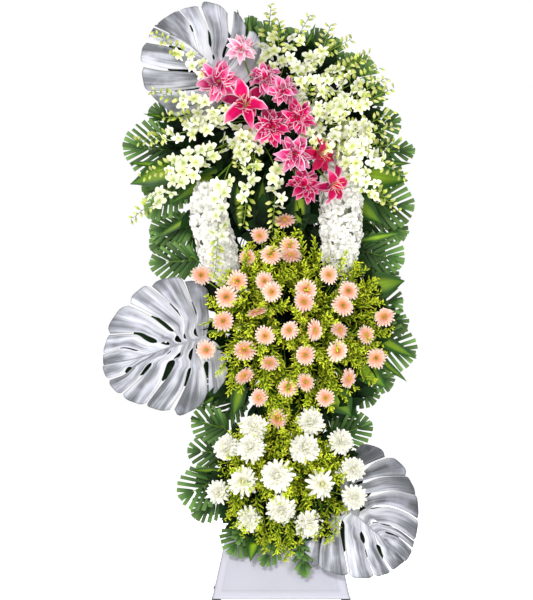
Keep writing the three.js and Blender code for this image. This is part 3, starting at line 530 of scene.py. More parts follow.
@dataclass(frozen=True)
class Blade:
    """A thin closed form swept along a bending middle line: a petal, ray, leaflet, bud or leaf."""

    widths: tuple[float, ...]  # half widths at even stations, as shares of the greatest
    columns: int = 3  # points across
    thick: float = 0.1  # half the thickness in the middle, as a share of the half width
    cup: float = 0.25  # how far the edges stand above the middle, as a share of the half width
    ruffle: float = 0.0  # how far the edges wave up and down, as a share of the half width
    waves: float = 2.0  # how many waves there are from root to tip
    round: bool = False  # thickness follows the width, as on a bud

    TAPER = 1.6  # the thickness narrows where the width is under 1 / this
    OFFBEAT = 1.6  # how far apart in phase the waves of the two edges start
    PHASE = 40.0  # how far the waves of tones 0 and 1 lie apart, in radians

    def grow(
        self, surface: Surface, finish: object, base: Array, along: Array, up: Array,
        length: Array | float, half: Array | float, rise: Array | float = 0.0,
        curl: Array | float = 0.0, tone: Array | float = 0.5, twist: Array | float = 0.0,
    ) -> None:
        """Adds one blade a row.

        The middle line starts at base, heads along, lifted by the angle rise towards up, and turns
        by curl in all. Its stations are summed from steps of length * (cos, sin) of the heading.
        Across it, a point at share a of the half width w lies cup * w * a^2 above the line, plus or
        minus thick * half * (1 - a^2).

        Args:
            surface: what it is added to.
            finish: the finish.
            base: where each blade starts.
            along: its direction, at right angles to up.
            up: the direction that its upper face looks in.
            length: length along the middle line.
            half: greatest half width.
            rise: angle at the start, in radians.
            curl: turn from start to tip, in radians.
            tone: a number from 0 to 1 that the finish varies with.
            twist: turn of the blade about its middle line at its tip, in radians.
        """
        copies = len(base)
        values = (length, half, rise, curl, tone, twist)
        length, half, rise, curl, tone, twist = (column(value, copies) for value in values)
        share = np.linspace(0, 1, len(self.widths))
        heading = rise + curl * share
        middle = (heading[:, 1:] + heading[:, :-1]) / 2
        step = length * np.diff(share)
        start = np.zeros((copies, 1))
        run = np.hstack([start, np.cumsum(np.cos(middle) * step, axis=1)])[..., None]
        climb = np.hstack([start, np.cumsum(np.sin(middle) * step, axis=1)])[..., None]
        upper = np.linspace(-1, 1, self.columns)
        across = np.concatenate([upper, upper[-2:0:-1]])
        face = np.concatenate([np.ones(self.columns), -np.ones(self.columns - 2)])
        width = (half * np.array(self.widths))[..., None]
        body = width
        if not self.round:
            body = half[..., None] * np.minimum(1, np.array(self.widths) * self.TAPER)[:, None]
        phase = self.PHASE * tone[..., None] + self.OFFBEAT * np.sign(across)
        wave = np.sin(self.waves * 2 * np.pi * share[:, None] + phase)
        level = self.cup * width * across**2 + self.thick * body * face * (1 - across**2)
        level = level + self.ruffle * width * across**2 * wave * share[:, None]
        turn = (twist * share)[..., None]
        side = width * across
        side, level = side * np.cos(turn) - level * np.sin(turn), side * np.sin(turn) + level * np.cos(turn)
        lean = heading[..., None]
        out = (run - np.sin(lean) * level)[..., None] * along[:, None, None]
        out = out + (climb + np.cos(lean) * level)[..., None] * up[:, None, None]
        out = out + side[..., None] * np.cross(up, along)[:, None, None]
        places = base[:, None, None] + out
        rows, ring = len(self.widths), len(across)
        marks = (np.repeat(share, ring), np.tile(across, rows), tone)
        surface.add(places.reshape(copies, -1, 3), marks, skin(rows, ring), finish)


@dataclass(frozen=True)
class Play:
    """How much petals differ from one to the next: ranges that each one's values are drawn from."""

    length: tuple[float, float]  # as shares of the length
    half: tuple[float, float]  # as shares of the half width
    rise: tuple[float, float]  # added, in radians, as is the curl
    curl: tuple[float, float]
    twist: tuple[float, float] | None = None

    def grow(
        self, blade: Blade, surface: Surface, finish: object, spots: tuple[Array, Array, Array],
        shape: tuple[Array | float, Array | float, float, float], rng: Random,
        tone: Array | float | Callable | None = None,
    ) -> None:
        """Adds one petal a spot. The draws are those of length, half, rise, curl, tone and twist.

        Args:
            blade: the petal's form.
            surface: what they are added to.
            finish: the finish.
            spots: the starts, the headings and the outward directions.
            shape: length, half width, rise and curl before play.
            rng: the random numbers.
            tone: each one's tone, what draws it, or None for any tone.
        """
        start, heading, up = spots
        length, half, rise, curl = shape
        vary = partial(rng.uniform, size=len(start))
        length, half = length * vary(*self.length), half * vary(*self.half)
        rise, curl = rise + vary(*self.rise), curl + vary(*self.curl)
        if tone is None:
            tone = vary(0, 1)
        elif callable(tone):
            tone = tone()
        twist = vary(*self.twist) if self.twist else 0.0
        blade.grow(surface, finish, start, heading, up, length, half, rise, curl, tone, twist)


def tube(
    surface: Surface, finish: object, paths: Array, radii: Array | float, sides: int = 4,
    tone: Array | float = 0.5,
) -> None:
    """Adds closed tubes along paths.

    A ring's point at an angle lies at radius * (cos, sin) of it, level and upright to the path.

    Args:
        surface: what they are added to.
        finish: the finish.
        paths: for each tube the places along it.
        radii: one radius, or one at each place, for all tubes or for each.
        sides: points round a ring, an even number.
        tone: a number from 0 to 1 that the finish varies with.
    """
    copies, rows = paths.shape[:2]
    tangent = unit(np.gradient(paths, axis=1))
    helper = np.where(np.abs(tangent[:, :1, 1:2]) > 0.9, UPWARD, -VIEWER)
    level = unit(np.cross(tangent, np.broadcast_to(helper, tangent.shape)))
    upright = np.cross(tangent, level)
    angle = 2 * np.pi * np.arange(sides) / sides
    radius = np.broadcast_to(radii, (copies, rows))[..., None, None]
    ring = np.cos(angle)[:, None] * level[:, :, None] - np.sin(angle)[:, None] * upright[:, :, None]
    places = paths[:, :, None] + radius * ring
    marks = (np.repeat(np.linspace(0, 1, rows), sides), np.tile(np.cos(angle), rows), column(tone, copies))
    surface.add(places.reshape(copies, -1, 3), marks, skin(rows, sides), finish)


def bowed(start: Array, end: Array, bow: Array | float = 0.0, rows: int = 6) -> Array:
    """Paths from starts to ends whose middles are moved by bow: straight + bow * sin(pi * share)."""
    start, bow = np.broadcast_to(start, end.shape), np.broadcast_to(bow, end.shape)
    share = np.linspace(0, 1, rows)[:, None]
    straight = start[:, None] * (1 - share) + end[:, None] * share
    return straight + bow[:, None] * np.sin(np.pi * share)


def through(points: list, rows: int) -> Array:
    """A smooth path through a few points, by Catmull-Rom pieces, at even steps of its parameter."""
    fixed = np.array(points, float)
    fixed = np.vstack([2 * fixed[0] - fixed[1], fixed, 2 * fixed[-1] - fixed[-2]])
    spot = np.linspace(0, len(points) - 1, rows)
    first = np.minimum(spot.astype(int), len(points) - 2)
    t = (spot - first)[:, None]
    a, b, c, d = (fixed[first + i] for i in range(4))
    return 0.5 * (2 * b + (c - a) * t + (2 * a - 5 * b + 4 * c - d) * t**2 + (3 * b - a - 3 * c + d) * t**3)


def spokes(
    place: Array, outward: Array, count: int, roll: Array, radius: Array | float = 0.0,
    height: Array | float = 0.0,
) -> tuple[Array, Array, Array]:
    """Where the petals of a row start on each flower.

    Petal k of a flower heads at the angle roll + 2 pi k / count in the flower's own plane, from a
    circle of a radius that lies a height out from its place.

    Returns:
        The starts, the headings and the outward directions, one row a petal.
    """
    level, upper = frames(outward)
    angle = (roll[:, None] + 2 * np.pi * np.arange(count) / count)[..., None]
    heading = np.cos(angle) * level[:, None] + np.sin(angle) * upper[:, None]
    radius, height = (column(value, len(place))[:, None] for value in (radius, height))
    start = place[:, None] + radius * heading + height * outward[:, None]
    up = np.broadcast_to(outward[:, None], start.shape)
    return start.reshape(-1, 3), heading.reshape(-1, 3), up.reshape(-1, 3)


# The tiers


@dataclass(frozen=True)
class Tier:
    """One of the three heights: its foam block, and the bulge that its flowers stand on."""

    x: float
    z: float
    width_x: float
    width_z: float
    rim: float
    bulge: float
    foam_bottom: float
    foam_height: float
    foam_half: float
    foam_x: float = 70.0
    foam_front: float = -50.0
    proud: float = 7.0  # how far out of the foam the stems of a bunch part

    def on(self, x: Array, z: Array, lift: Array | float) -> tuple[Array, Array]:
        """Places on the bulge, in metres, and the directions it faces there.

        The bulge lies rim + bulge * exp(-((x - x0) / width_x)^2 - ((z - z0) / width_z)^2) in front
        of y = 0, and lift is added along the outward direction.
        """
        ax, az = (x - self.x) / self.width_x, (z - self.z) / self.width_z
        depth = self.bulge * np.exp(-(ax**2) - az**2)
        slopes = [2 * depth * ax / self.width_x, -np.ones_like(depth), 2 * depth * az / self.width_z]
        outward = unit(np.stack(slopes, -1))
        place = np.stack([x, -self.rim - depth, z], -1)
        return (place + column(lift, len(place)) * outward) * MM, outward

    def root(self, side: str, a: float, b: float) -> Array:
        """Where the stems of a bunch part, just out of a face of the foam, in metres."""
        top = self.foam_bottom + self.foam_height
        places = {
            "front": (a, self.foam_front - self.proud, b),
            "left": (self.foam_x - self.foam_half - self.proud, a, b),
            "right": (self.foam_x + self.foam_half + self.proud, a, b),
            "top": (a, b, top + self.proud),
        }
        return np.array(places[side]) * MM


class Level(Enum):
    """The tiers by name."""

    TOP = Tier(70, 1560, 250, 260, 75, 135, 1483, 200, 100)
    MID = Tier(100, 900, 260, 280, 78, 152, 833, 150, 110)
    LOW = Tier(85, 400, 200, 190, 90, 130, 323.3, 170, 100)


# Finishes of the plants

# A glow in these finishes is painted light that lightens the shade of petals, buds and leaves.
STEM = Petal("stem", "#3f5f18", "#5f8220", "#7f9f2c", veins=3.0, play=0.4)
PALM = Petal(
    "palm leaflet", "#20400e", "#3a621f", "#6b9048", belt=0.45, veins=6.0, streak=0.9, play=0.9,
    gloss=0.3, margin="#16300c", margin_share=0.4,
)
# Near-black leaves, whose colour is painted shade in the gaps between flowers and behind the silver leaves'
# slits.
PAINTED_SHADE_LEAF = Petal(
    "leaf in painted shade", "#050f03", "#0c2207", "#17390d", belt=0.5, veins=6.0, streak=0.6, play=0.8,
    roughness=0.6, gloss=0.12, margin="#040d03", margin_share=0.5,
)
STRIPED = Petal(
    "striped leaf", "#4d7d12", "#8aac1e", "#3a6a14", belt=0.45, veins=13.0, streak=1.4, play=0.4,
    roughness=0.4, gloss=0.25, margin="#1a4a10", margin_share=0.95, margin_from=0.12, margin_to=0.75,
)
# The arch's striped leaves: their glow is painted light that lifts them out of the arch's shade.
DEEP_STRIPED = Petal(
    "deep striped leaf", "#44700f", "#8aa51c", "#3a6412", belt=0.45, veins=9.0, streak=0.9, play=0.5,
    roughness=0.45, gloss=0.2, margin="#0f2f09", margin_share=1.0, margin_from=0.15, margin_to=0.6,
    glow=0.05,
)
SPRAY_STEM = Petal("spray stem", "#46601a", "#6f8c2a", "#9ab040", veins=3.0, play=0.4)
ORCHID = Petal(
    "orchid petal", "#9fb238", "#f1f1da", "#fbfbf4", belt=0.3, veins=5.0, streak=0.2, play=0.6,
    other="#dfe49a", glow=0.05,
)
GREEN_ORCHID = Petal(
    "green orchid petal", "#b2c95a", "#e3eab2", "#f6f8de", belt=0.35, veins=5.0, streak=0.16, play=0.3,
    other="#f1f4da", glow=0.05,
)
ORCHID_LIP = Petal("orchid lip", "#a9c040", "#dfe79a", "#f8f8e0", belt=0.45, play=0.4)
ORCHID_BUD = Petal(
    "orchid bud", "#86a02e", "#b4c248", "#d2da7a", belt=0.5, play=0.5, other="#dcd890",
    glow=0.05,
)
# The column petals' greyish root is painted shade where they meet; the core shows only between florets, and
# its grey-green is painted shade there.
COLUMN = Petal(
    "column petal", "#bcc1a4", "#e0dfd8", "#f7f6f1", belt=0.4, veins=4.0, streak=0.2, play=0.25,
    roughness=0.55, glow=0.05,
)
COLUMN_CORE = Petal("column core", "#8d9878", "#a9b294", "#b9c1a6", play=0.5, roughness=0.6)
LILY = Petal(
    "lily petal", "#e0a050", "#d20a5a", "#f27cae", belt=0.2, hold=0.68, veins=8.0, streak=0.8, play=0.7,
    margin="#ffe2ef", margin_share=0.75, margin_from=0.66, gloss=0.1, other="#a40446",
    glow=0.06,
)
MID_LILY = Petal(
    "mid lily petal", "#ecc080", "#d0206e", "#f7a2c8", belt=0.22, hold=0.55, veins=8.0, streak=0.9,
    play=0.7, margin="#fff0f6", margin_share=0.8, margin_from=0.64, gloss=0.1,
    other="#b81058", glow=0.05,
)
PALE_LILY = Petal(
    "pale lily petal", "#f0dca0", "#dc2f78", "#fbd3e2", belt=0.3, veins=8.0, streak=0.6, play=0.5,
    margin="#fff5f8", margin_share=0.95, margin_from=0.45, gloss=0.2,
)
DEEP_LILY = Petal(
    "deep lily petal", "#e0803c", "#c00648", "#dc2a70", belt=0.25, hold=0.8, veins=6.0, streak=0.5,
    play=0.3, margin="#ef6f9a", margin_share=0.8, margin_from=0.75, gloss=0.2,
)
ANTHER = Petal("anther", "#d98a1c", "#e8a92c", "#f2c04a", roughness=0.8)
FILAMENT = Petal("filament", "#e6e6a8", "#f2eec0", "#f6e9a0")
GERBERA = Petal(
    "gerbera ray", "#e67a50", "#f7ae8e", "#fde6d8", belt=0.42, veins=5.0, streak=0.3, play=0.45,
    roughness=0.6, glow=0.04, margin="#ffe4d6", margin_share=0.5, margin_from=0.5, other="#f2a27c",
)
GERBERA_HEART = Petal(
    "gerbera inner ray", "#d86a34", "#f0966a", "#fbc4a2", belt=0.45, veins=5.0, streak=0.2, play=0.3,
    roughness=0.6,
)
GERBERA_EYE = Petal("gerbera eye", "#a39a2c", "#cfbb42", "#f0dc78", play=0.5, roughness=0.8, glow=0.08)
# Their darker greenish root is partly the petals' own colour and partly painted shade in the crevices of
# the head.
MUM = Petal(
    "chrysanthemum petal", "#c6cd8c", "#f2f1e2", "#fdfcf4", belt=0.34, veins=4.0, streak=0.2, play=0.22,
    roughness=0.6, gloss=0.15, glow=0.07,
)
MUM_HEART = Petal(
    "chrysanthemum heart", "#ccd67c", "#e9ebb8", "#f6f6dc", play=0.2, roughness=0.6, gloss=0.15, glow=0.05,
)
GOLDEN = Petal(
    "goldenrod", "#5f8210", "#acc01c", "#e6e050", belt=0.4, veins=3.0, streak=0.4, play=1.3,
    roughness=0.8, gloss=0.1, other="#a0b81e",
)
GOLDEN_LEAF = Petal(
    "goldenrod leaf", "#23420c", "#4a7414", "#6f921e", veins=4.0, play=0.7, roughness=0.65, gloss=0.15,
)


# Foliage


@dataclass(frozen=True)
class Leaf:
    """A leaf on its stalk, in millimetres."""

    base: tuple[float, float, float]
    tip: tuple[float, float, float]
    half: float
    faces: tuple[float, float, float] = (0.0, -1.0, 0.0)
    via: tuple[float, float, float] | None = None

    INTO = 0.03  # how far the stalk runs on under the blade, in metres
    ROWS = 10  # rings of the stalk

    def frame(self) -> tuple[Array, Array, Array, Array, float]:
        """The base, the directions along, across and out of the blade, and its length, in metres."""
        base, tip = np.array(self.base) * MM, np.array(self.tip) * MM
        along = unit(tip - base)
        across = unit(np.cross(np.array(self.faces), along))
        return base, along, across, np.cross(along, across), float(np.linalg.norm(tip - base))

    def stalk(self, surface: Surface, root: Array, radius: float) -> None:
        """Adds the stalk from the foam to the blade."""
        base, along, *_ = self.frame()
        points = [root, base, base + along * self.INTO]
        if self.via:
            points.insert(1, np.array(self.via) * MM)
        tube(surface, STEM, through(points, self.ROWS)[None], radius, 6)


@dataclass(frozen=True)
class Slit:
    """The line between two lobes, through points read off the photo, in its pixels."""

    points: tuple[tuple[float, float], ...]  # from the midrib, past any hole and the root, to the margin
    root: int = 1  # which point is the slit's inner end
    drop: float = 0.0  # half width near the root
    mouth: float = 0.4  # half width at the margin
    hole: tuple[float, float] | None = None  # half length and half width of a hole at point 1

    WIDENS = (0.35, 1.0)  # the shares between which the mouth opens

    def path(self, rows: int) -> Array:
        """The line at even steps, in metres across and up."""
        line = through(self.points, 90)
        run = run_of(line)
        return from_photo(sample(line, run, np.linspace(0, run[-1], rows)))

    def gap(self, rows: int) -> Array:
        """Half the opening at each step: any hole, then a drop that closes towards the mouth."""
        if not self.mouth:
            return np.zeros(rows)
        path = self.path(rows)
        run = run_of(path)
        spots = from_photo(np.array(self.points, float))
        nearest = np.argmin(np.linalg.norm(path[:, None] - spots, axis=-1), axis=0)
        start = run[nearest[self.root]]
        share = np.clip((run - start) / (run[-1] - start), 0, 1)
        rounded = np.sqrt(1 - (1 - np.clip(share / 0.13, 0, 1)) ** 2)
        width = 1.7 * self.drop * np.exp(-((share / 0.5) ** 2))
        gap = rounded * (width + self.mouth * smooth(share, *self.WIDENS)) * PIXEL
        if self.hole:
            length, half = np.array(self.hole) * PIXEL
            spread = np.clip(1 - ((run - run[nearest[1]]) / length) ** 2, 0, 1)
            gap = np.maximum(gap, 1.25 * half * np.sqrt(spread))
        return gap


@dataclass(frozen=True)
class Side:
    """One side of a split leaf: its back edge, its slits to the tip, and how far each lobe bulges."""

    back: Slit
    slits: tuple[Slit, ...]
    end: Slit
    bulges: tuple[tuple[float, float], ...]  # the outermost place of each lobe, in pixels


# The sides of each split leaf, from the root to the tip, in pixels of the photo
TOP_SIDES = (
    Side(
        Slit(((222, 80), (244, 84), (259, 64), (258.5, 47)), mouth=0.0),
        (
            Slit(((220, 77), (232, 64), (241.5, 49), (245, 40), (248, 28)), 2, 0.6, 2.2),
            Slit(((217, 73), (222.5, 58), (225, 49), (229, 38), (231.5, 14)), 1, 0.9, 4.0),
            Slit(((212, 68), (213.5, 56), (210.5, 47), (208, 28), (199.5, 6)), 2, 1.0, 1.7, (2.6, 1.2)),
            Slit(((198, 52), (193, 32), (188, 21), (179.5, 10)), 1, 0.6, 0.7),
        ),
        Slit(((188, 44), (157, 24.5)), mouth=0.0),
        ((258, 36), (236.5, 12), (213, 2.5), (190, 6.5), (167, 16)),
    ),
    Side(
        Slit(((222, 82), (221, 105), (213, 119), (203, 129)), mouth=0.0),
        (
            Slit(((221, 81), (210, 95), (198, 108), (178, 117)), 2, 0.8, 1.0),
            Slit(((218, 77), (201, 87), (185, 90), (166, 91.5), (148, 91)), 1, 0.5, 0.8),
            Slit(((212, 69), (200, 71), (182, 70.3), (163, 69), (143, 64.5)), 1, 1.0, 2.2),
            Slit(((204, 59), (194, 54.5), (183, 50), (168, 45.5), (147, 39.5)), 2, 1.0, 2.6),
            Slit(((193, 47), (180.5, 37), (170, 33.5), (154, 26.5)), 1, 0.7, 0.7),
        ),
        Slit(((190, 45), (157, 24.5)), mouth=0.0),
        ((192, 127), (163, 106), (142.5, 79), (141, 53), (150, 33), (154.5, 25)),
    ),
)

MID_SIDES = (
    Side(
        Slit(((206, 336), (209, 320), (205.5, 297)), mouth=0.0),
        (
            Slit(((199, 338), (194.7, 332.5), (196, 315), (191, 300), (184, 281)), 2, 0.4, 0.8, (4.4, 1.2)),
            Slit(
                ((188, 341.5), (184, 336.3), (184, 321), (172, 306), (158, 292.5), (150.5, 286.5)), 2, 0.6,
                1.0, (3.0, 0.9),
            ),
            Slit(
                ((182, 343.5), (177, 339.7), (174.5, 332), (160, 321), (143, 311), (129, 304.5)), 2, 1.9,
                1.5, (4.0, 2.2),
            ),
            Slit(
                ((171, 347), (164.5, 342.8), (157, 343), (147, 338.5), (136, 333.5), (109.5, 334.5)), 2,
                1.9, 0.7, (4.2, 2.1),
            ),
            Slit(((152, 354), (137.5, 351), (122, 348), (103.5, 354)), 1, 0.5, 0.6),
        ),
        Slit(((140, 357.5), (103.5, 365)), mouth=0.0),
        ((202, 285), (168, 278), (137, 291), (113.5, 317), (105, 344), (102.8, 359)),
    ),
    Side(
        Slit(((206, 337), (219, 346), (228, 366)), mouth=0.0),
        (
            Slit(
                ((203, 338), (196, 346.5), (205, 362), (207.5, 378), (208, 392.5)), 2, 1.9, 0.5, (2.2, 0.8),
            ),
            Slit(((195, 340), (190.8, 355), (190, 368), (184, 388), (172, 411)), 2, 1.3, 2.4, (6.0, 2.1)),
            Slit(
                ((183, 343.5), (178, 356), (172.5, 360.5), (163, 380), (147, 403)), 2, 2.3, 0.5, (3.8, 1.7),
            ),
            Slit(
                ((173, 346.5), (168, 353.5), (158, 357.5), (151, 362.5), (138, 379), (122, 394)), 3, 1.3,
                0.9, (2.2, 0.9),
            ),
            Slit(((150, 354.5), (131.5, 367), (122, 375), (109, 379.5)), 1, 1.3, 0.9),
        ),
        Slit(((140, 357.5), (103.5, 365)), mouth=0.0),
        ((220, 388), (189, 412.5), (155, 409.5), (133, 402.5), (113, 389), (104, 373)),
    ),
)

LOW_SIDES = (
    Side(
        Slit(((343, 506), (341, 478), (358, 446)), mouth=0.0),
        (
            Slit(((349, 511), (354, 478), (363, 468), (374, 460.5), (387, 455)), 2, 1.6, 1.2),
            Slit(((352, 514), (356, 486), (366, 481), (382, 476.5), (406, 475.5)), 1, 1.3, 0.4),
            Slit(((355, 516), (361, 498.7), (376, 494), (395, 491), (415.5, 494.5)), 1, 1.3, 0.3),
            Slit(
                ((358, 518.5), (361.3, 508.7), (369, 509), (385, 506.5), (403, 511), (417, 518.5)), 2, 0.9,
                0.4, (3.4, 1.7),
            ),
            Slit(
                ((367, 526.5), (373.3, 522), (380, 524.5), (396, 528.5), (413, 539.5)), 2, 0.4, 0.5,
                (3.8, 1.4),
            ),
            Slit(((377, 535), (384, 532.5), (398, 537), (411, 547)), 1, 0.7, 0.9),
        ),
        Slit(((386, 543), (403, 559)), mouth=0.0),
        ((375, 444), (401, 462), (412, 483), (418, 506), (416.5, 530), (412.8, 543), (408.5, 554.5)),
    ),
    Side(
        Slit(((343, 507), (322, 518), (299, 540)), mouth=0.0),
        (
            Slit(((344, 508), (324, 528), (319, 545), (318, 563)), 1, 1.3, 0.6),
            Slit(((350, 513), (342, 521), (343, 543), (348, 572)), 1, 1.8, 0.7),
            Slit(
                ((359, 519.5), (361.8, 538), (364.5, 549), (368, 561), (373, 573)), 2, 0.3, 0.6, (5.4, 1.9),
            ),
            Slit(((372, 531.5), (376.5, 544), (381, 555), (390, 568)), 1, 1.3, 1.2),
        ),
        Slit(((382, 539.5), (403, 559)), mouth=0.0),
        ((306, 556), (332, 571), (361, 576), (383, 572.5), (398, 564)),
    ),
)


@dataclass(frozen=True)
class SilverLeaves:
    """The three split leaves painted silver, each with its lobes where the photo has them."""

    thick: float = 0.0011  # leaf and paint
    arch: float = 0.016  # how far the blade bulges out between base and tip
    droop: float = 0.018  # how far its sides lie back
    stalk: float = 0.0032  # radius
    rib: tuple[float, float] = (0.0036, 0.0010)  # the midrib's radius at base and tip
    rib_rows: int = 16
    rows: int = 46  # points along a lobe
    columns: int = 11  # points across it
    crown: tuple[float, float] = (0.0035, 0.005)  # how high a lobe is arched at least, and how much more

    SHADE = Blade((0.5, 0.9, 1.0, 1.0, 0.8, 0.2), thick=0.06, cup=-0.2)
    LEAVES = {
        "silver_leaf_top": (
            Level.TOP, ("left", -34, 1668), Leaf((-98, -66, 1676), (-350, -76, 1900), 205),
            ((222, 80), (213, 69), (205, 59), (196, 50), (187, 43), (170, 33), (157, 24.5)), TOP_SIDES,
        ),
        "silver_leaf_mid": (
            Level.MID, ("left", -30, 872), Leaf((-150, -58, 890), (-522, -86, 782), 208),
            ((206, 336), (190, 341.5), (174, 346), (162, 350), (148, 355), (130, 360), (103.5, 365)),
            MID_SIDES,
        ),
        "silver_leaf_low": (
            Level.LOW, ("right", -30, 390), Leaf((256, -112, 322), (472, -193, 128), 188, (0, -1, 0.42)),
            ((343, 506), (351, 513), (361, 521), (371, 530), (382, 539), (392, 548), (403, 559)), LOW_SIDES,
        ),
    }

    def build(self) -> None:
        """Builds each leaf as lobes between its slit lines, with its midrib and stalk."""
        for name, (level, root, leaf, midrib, sides) in self.LEAVES.items():
            surface = Surface()
            for number, side in enumerate(sides):
                self._lobes(surface, leaf, side, number)
            self._midrib(surface, leaf, midrib)
            leaf.stalk(surface, level.value.root(*root), self.stalk)
            surface.publish(f"painted_{name}", "silver_leaf", name)
            self._shade(name, leaf, midrib, [slit for side in sides for slit in side.slits])

    def _raise(self, leaf: Leaf, flat: Array, height: Array | float) -> tuple[Array, Array]:
        """Places on the leaf at given places across and up, and the direction out of it.

        The blade lies arch * sin(pi u) - droop * v^2 in front of the plane through base and tip,
        with u the share of the length and v that of the half width.
        """
        base, along, across, out, length = leaf.frame()
        depth = base[1] - (out[0] * (flat[..., 0] - base[0]) + out[2] * (flat[..., 1] - base[2])) / out[1]
        place = np.stack([flat[..., 0], depth, flat[..., 1]], -1)
        u = np.clip((place - base) @ along / length, -0.2, 1)
        v = (place - base) @ across / (leaf.half * MM)
        bulge = self.arch * np.sin(np.pi * u) - self.droop * v**2
        return place + (bulge + height)[..., None] * out, out

    def _lobes(self, surface: Surface, leaf: Leaf, side: Side, number: int) -> None:
        """Adds the lobes of one side: each is arched across, and its far edge dips past the slit."""
        rng = np.random.default_rng(int(-leaf.tip[0]) + 1000 + number)
        lines = [side.back, *side.slits, side.end]
        q = np.linspace(0, 1, self.columns)
        t = np.linspace(0, 1, self.rows)[:, None]
        least, more = self.crown
        for near, far, bulge in zip(lines, lines[1:], side.bulges):
            first, last = near.path(self.rows), far.path(self.rows)
            wide = np.maximum(np.linalg.norm(last - first, axis=-1), 1e-4)
            low = np.minimum(near.gap(self.rows) / wide, 0.45)[:, None]
            high = 1 - np.minimum(far.gap(self.rows) / wide, 0.45)[:, None]
            place = low + (high - low) * q
            flat = first[:, None] * (1 - place)[..., None] + last[:, None] * place[..., None]
            swell = from_photo(np.array(bulge, float)) - (first[-1] + last[-1]) / 2
            dome = 1 - np.abs(2 * q - 1) ** 4.5
            flat = flat + (t**2.2 * dome)[..., None] * swell
            free = smooth(t, 0.25, 1.0)
            bow = (least + more * rng.random()) * 4 * q * (1 - q) * smooth(t, 0.1, 0.7)
            tilt = rng.uniform(-0.006, 0.006) * (q - 0.5) * free
            ripple = 0.0012 * np.sin(2.5 * np.pi * q + 6 * rng.random()) * free
            middle, out = self._raise(leaf, flat, bow + tilt + ripple)
            self._shell(surface, middle, out, q, rng.random())

    def _shell(self, surface: Surface, middle: Array, out: Array, q: Array, tone: float) -> None:
        """Adds a lobe as a closed sheet with the thickness of leaf and paint."""
        ring = ringed(middle, middle - self.thick * out)
        rows, width = ring.shape[:2]
        across = ringed(q[None], q[None])[0] * 2 - 1
        marks = (np.repeat(np.linspace(0, 1, rows), width), np.tile(across, rows), tone)
        faces = skin(rows, width)
        down, right = middle[1:, :-1] - middle[:-1, :-1], middle[:-1, 1:] - middle[:-1, :-1]
        if (np.cross(down, right) @ out).sum() < 0:
            faces = [face[:, ::-1] for face in faces]
        surface.add(ring.reshape(1, -1, 3), marks, faces, SilverPaint())

    def _shade(self, name: str, leaf: Leaf, midrib: tuple, slits: list[Slit]) -> None:
        """Builds near-black leaflets behind the midrib and the inner part of each slit: painted shade where
        they show.
        """
        surface = Surface()
        rng = np.random.default_rng(int(-leaf.tip[0]) + 2000)
        behind = [(slit.path(20)[[2, 12]] + rng.normal(0, 0.002, (2, 2)), 0.015) for slit in slits]
        rib = from_photo(np.array(midrib, float))
        behind += [(rib[[0, 3]], 0.030), (rib[[2, 5]], 0.022)]
        for path, half in behind:
            (start, end), out = self._raise(leaf, path, np.array((-0.014, -0.024)))
            along = unit(end - start)
            length = np.linalg.norm(end - start)
            self.SHADE.grow(
                surface, PAINTED_SHADE_LEAF, start[None], along[None], square_to(out, along)[None], length, half,
                tone=rng.random(),
            )
        surface.publish(f"painted_shade_leaflets_behind_{name}", "palm_green")

    def _midrib(self, surface: Surface, leaf: Leaf, midrib: tuple) -> None:
        """Adds the midrib, a slim tube that follows the blade's arch."""
        flat = from_photo(through(midrib, self.rib_rows))
        path, _ = self._raise(leaf, flat, 0.0006)
        tube(surface, SilverPaint(), path[None], np.linspace(*self.rib, self.rib_rows), 6)


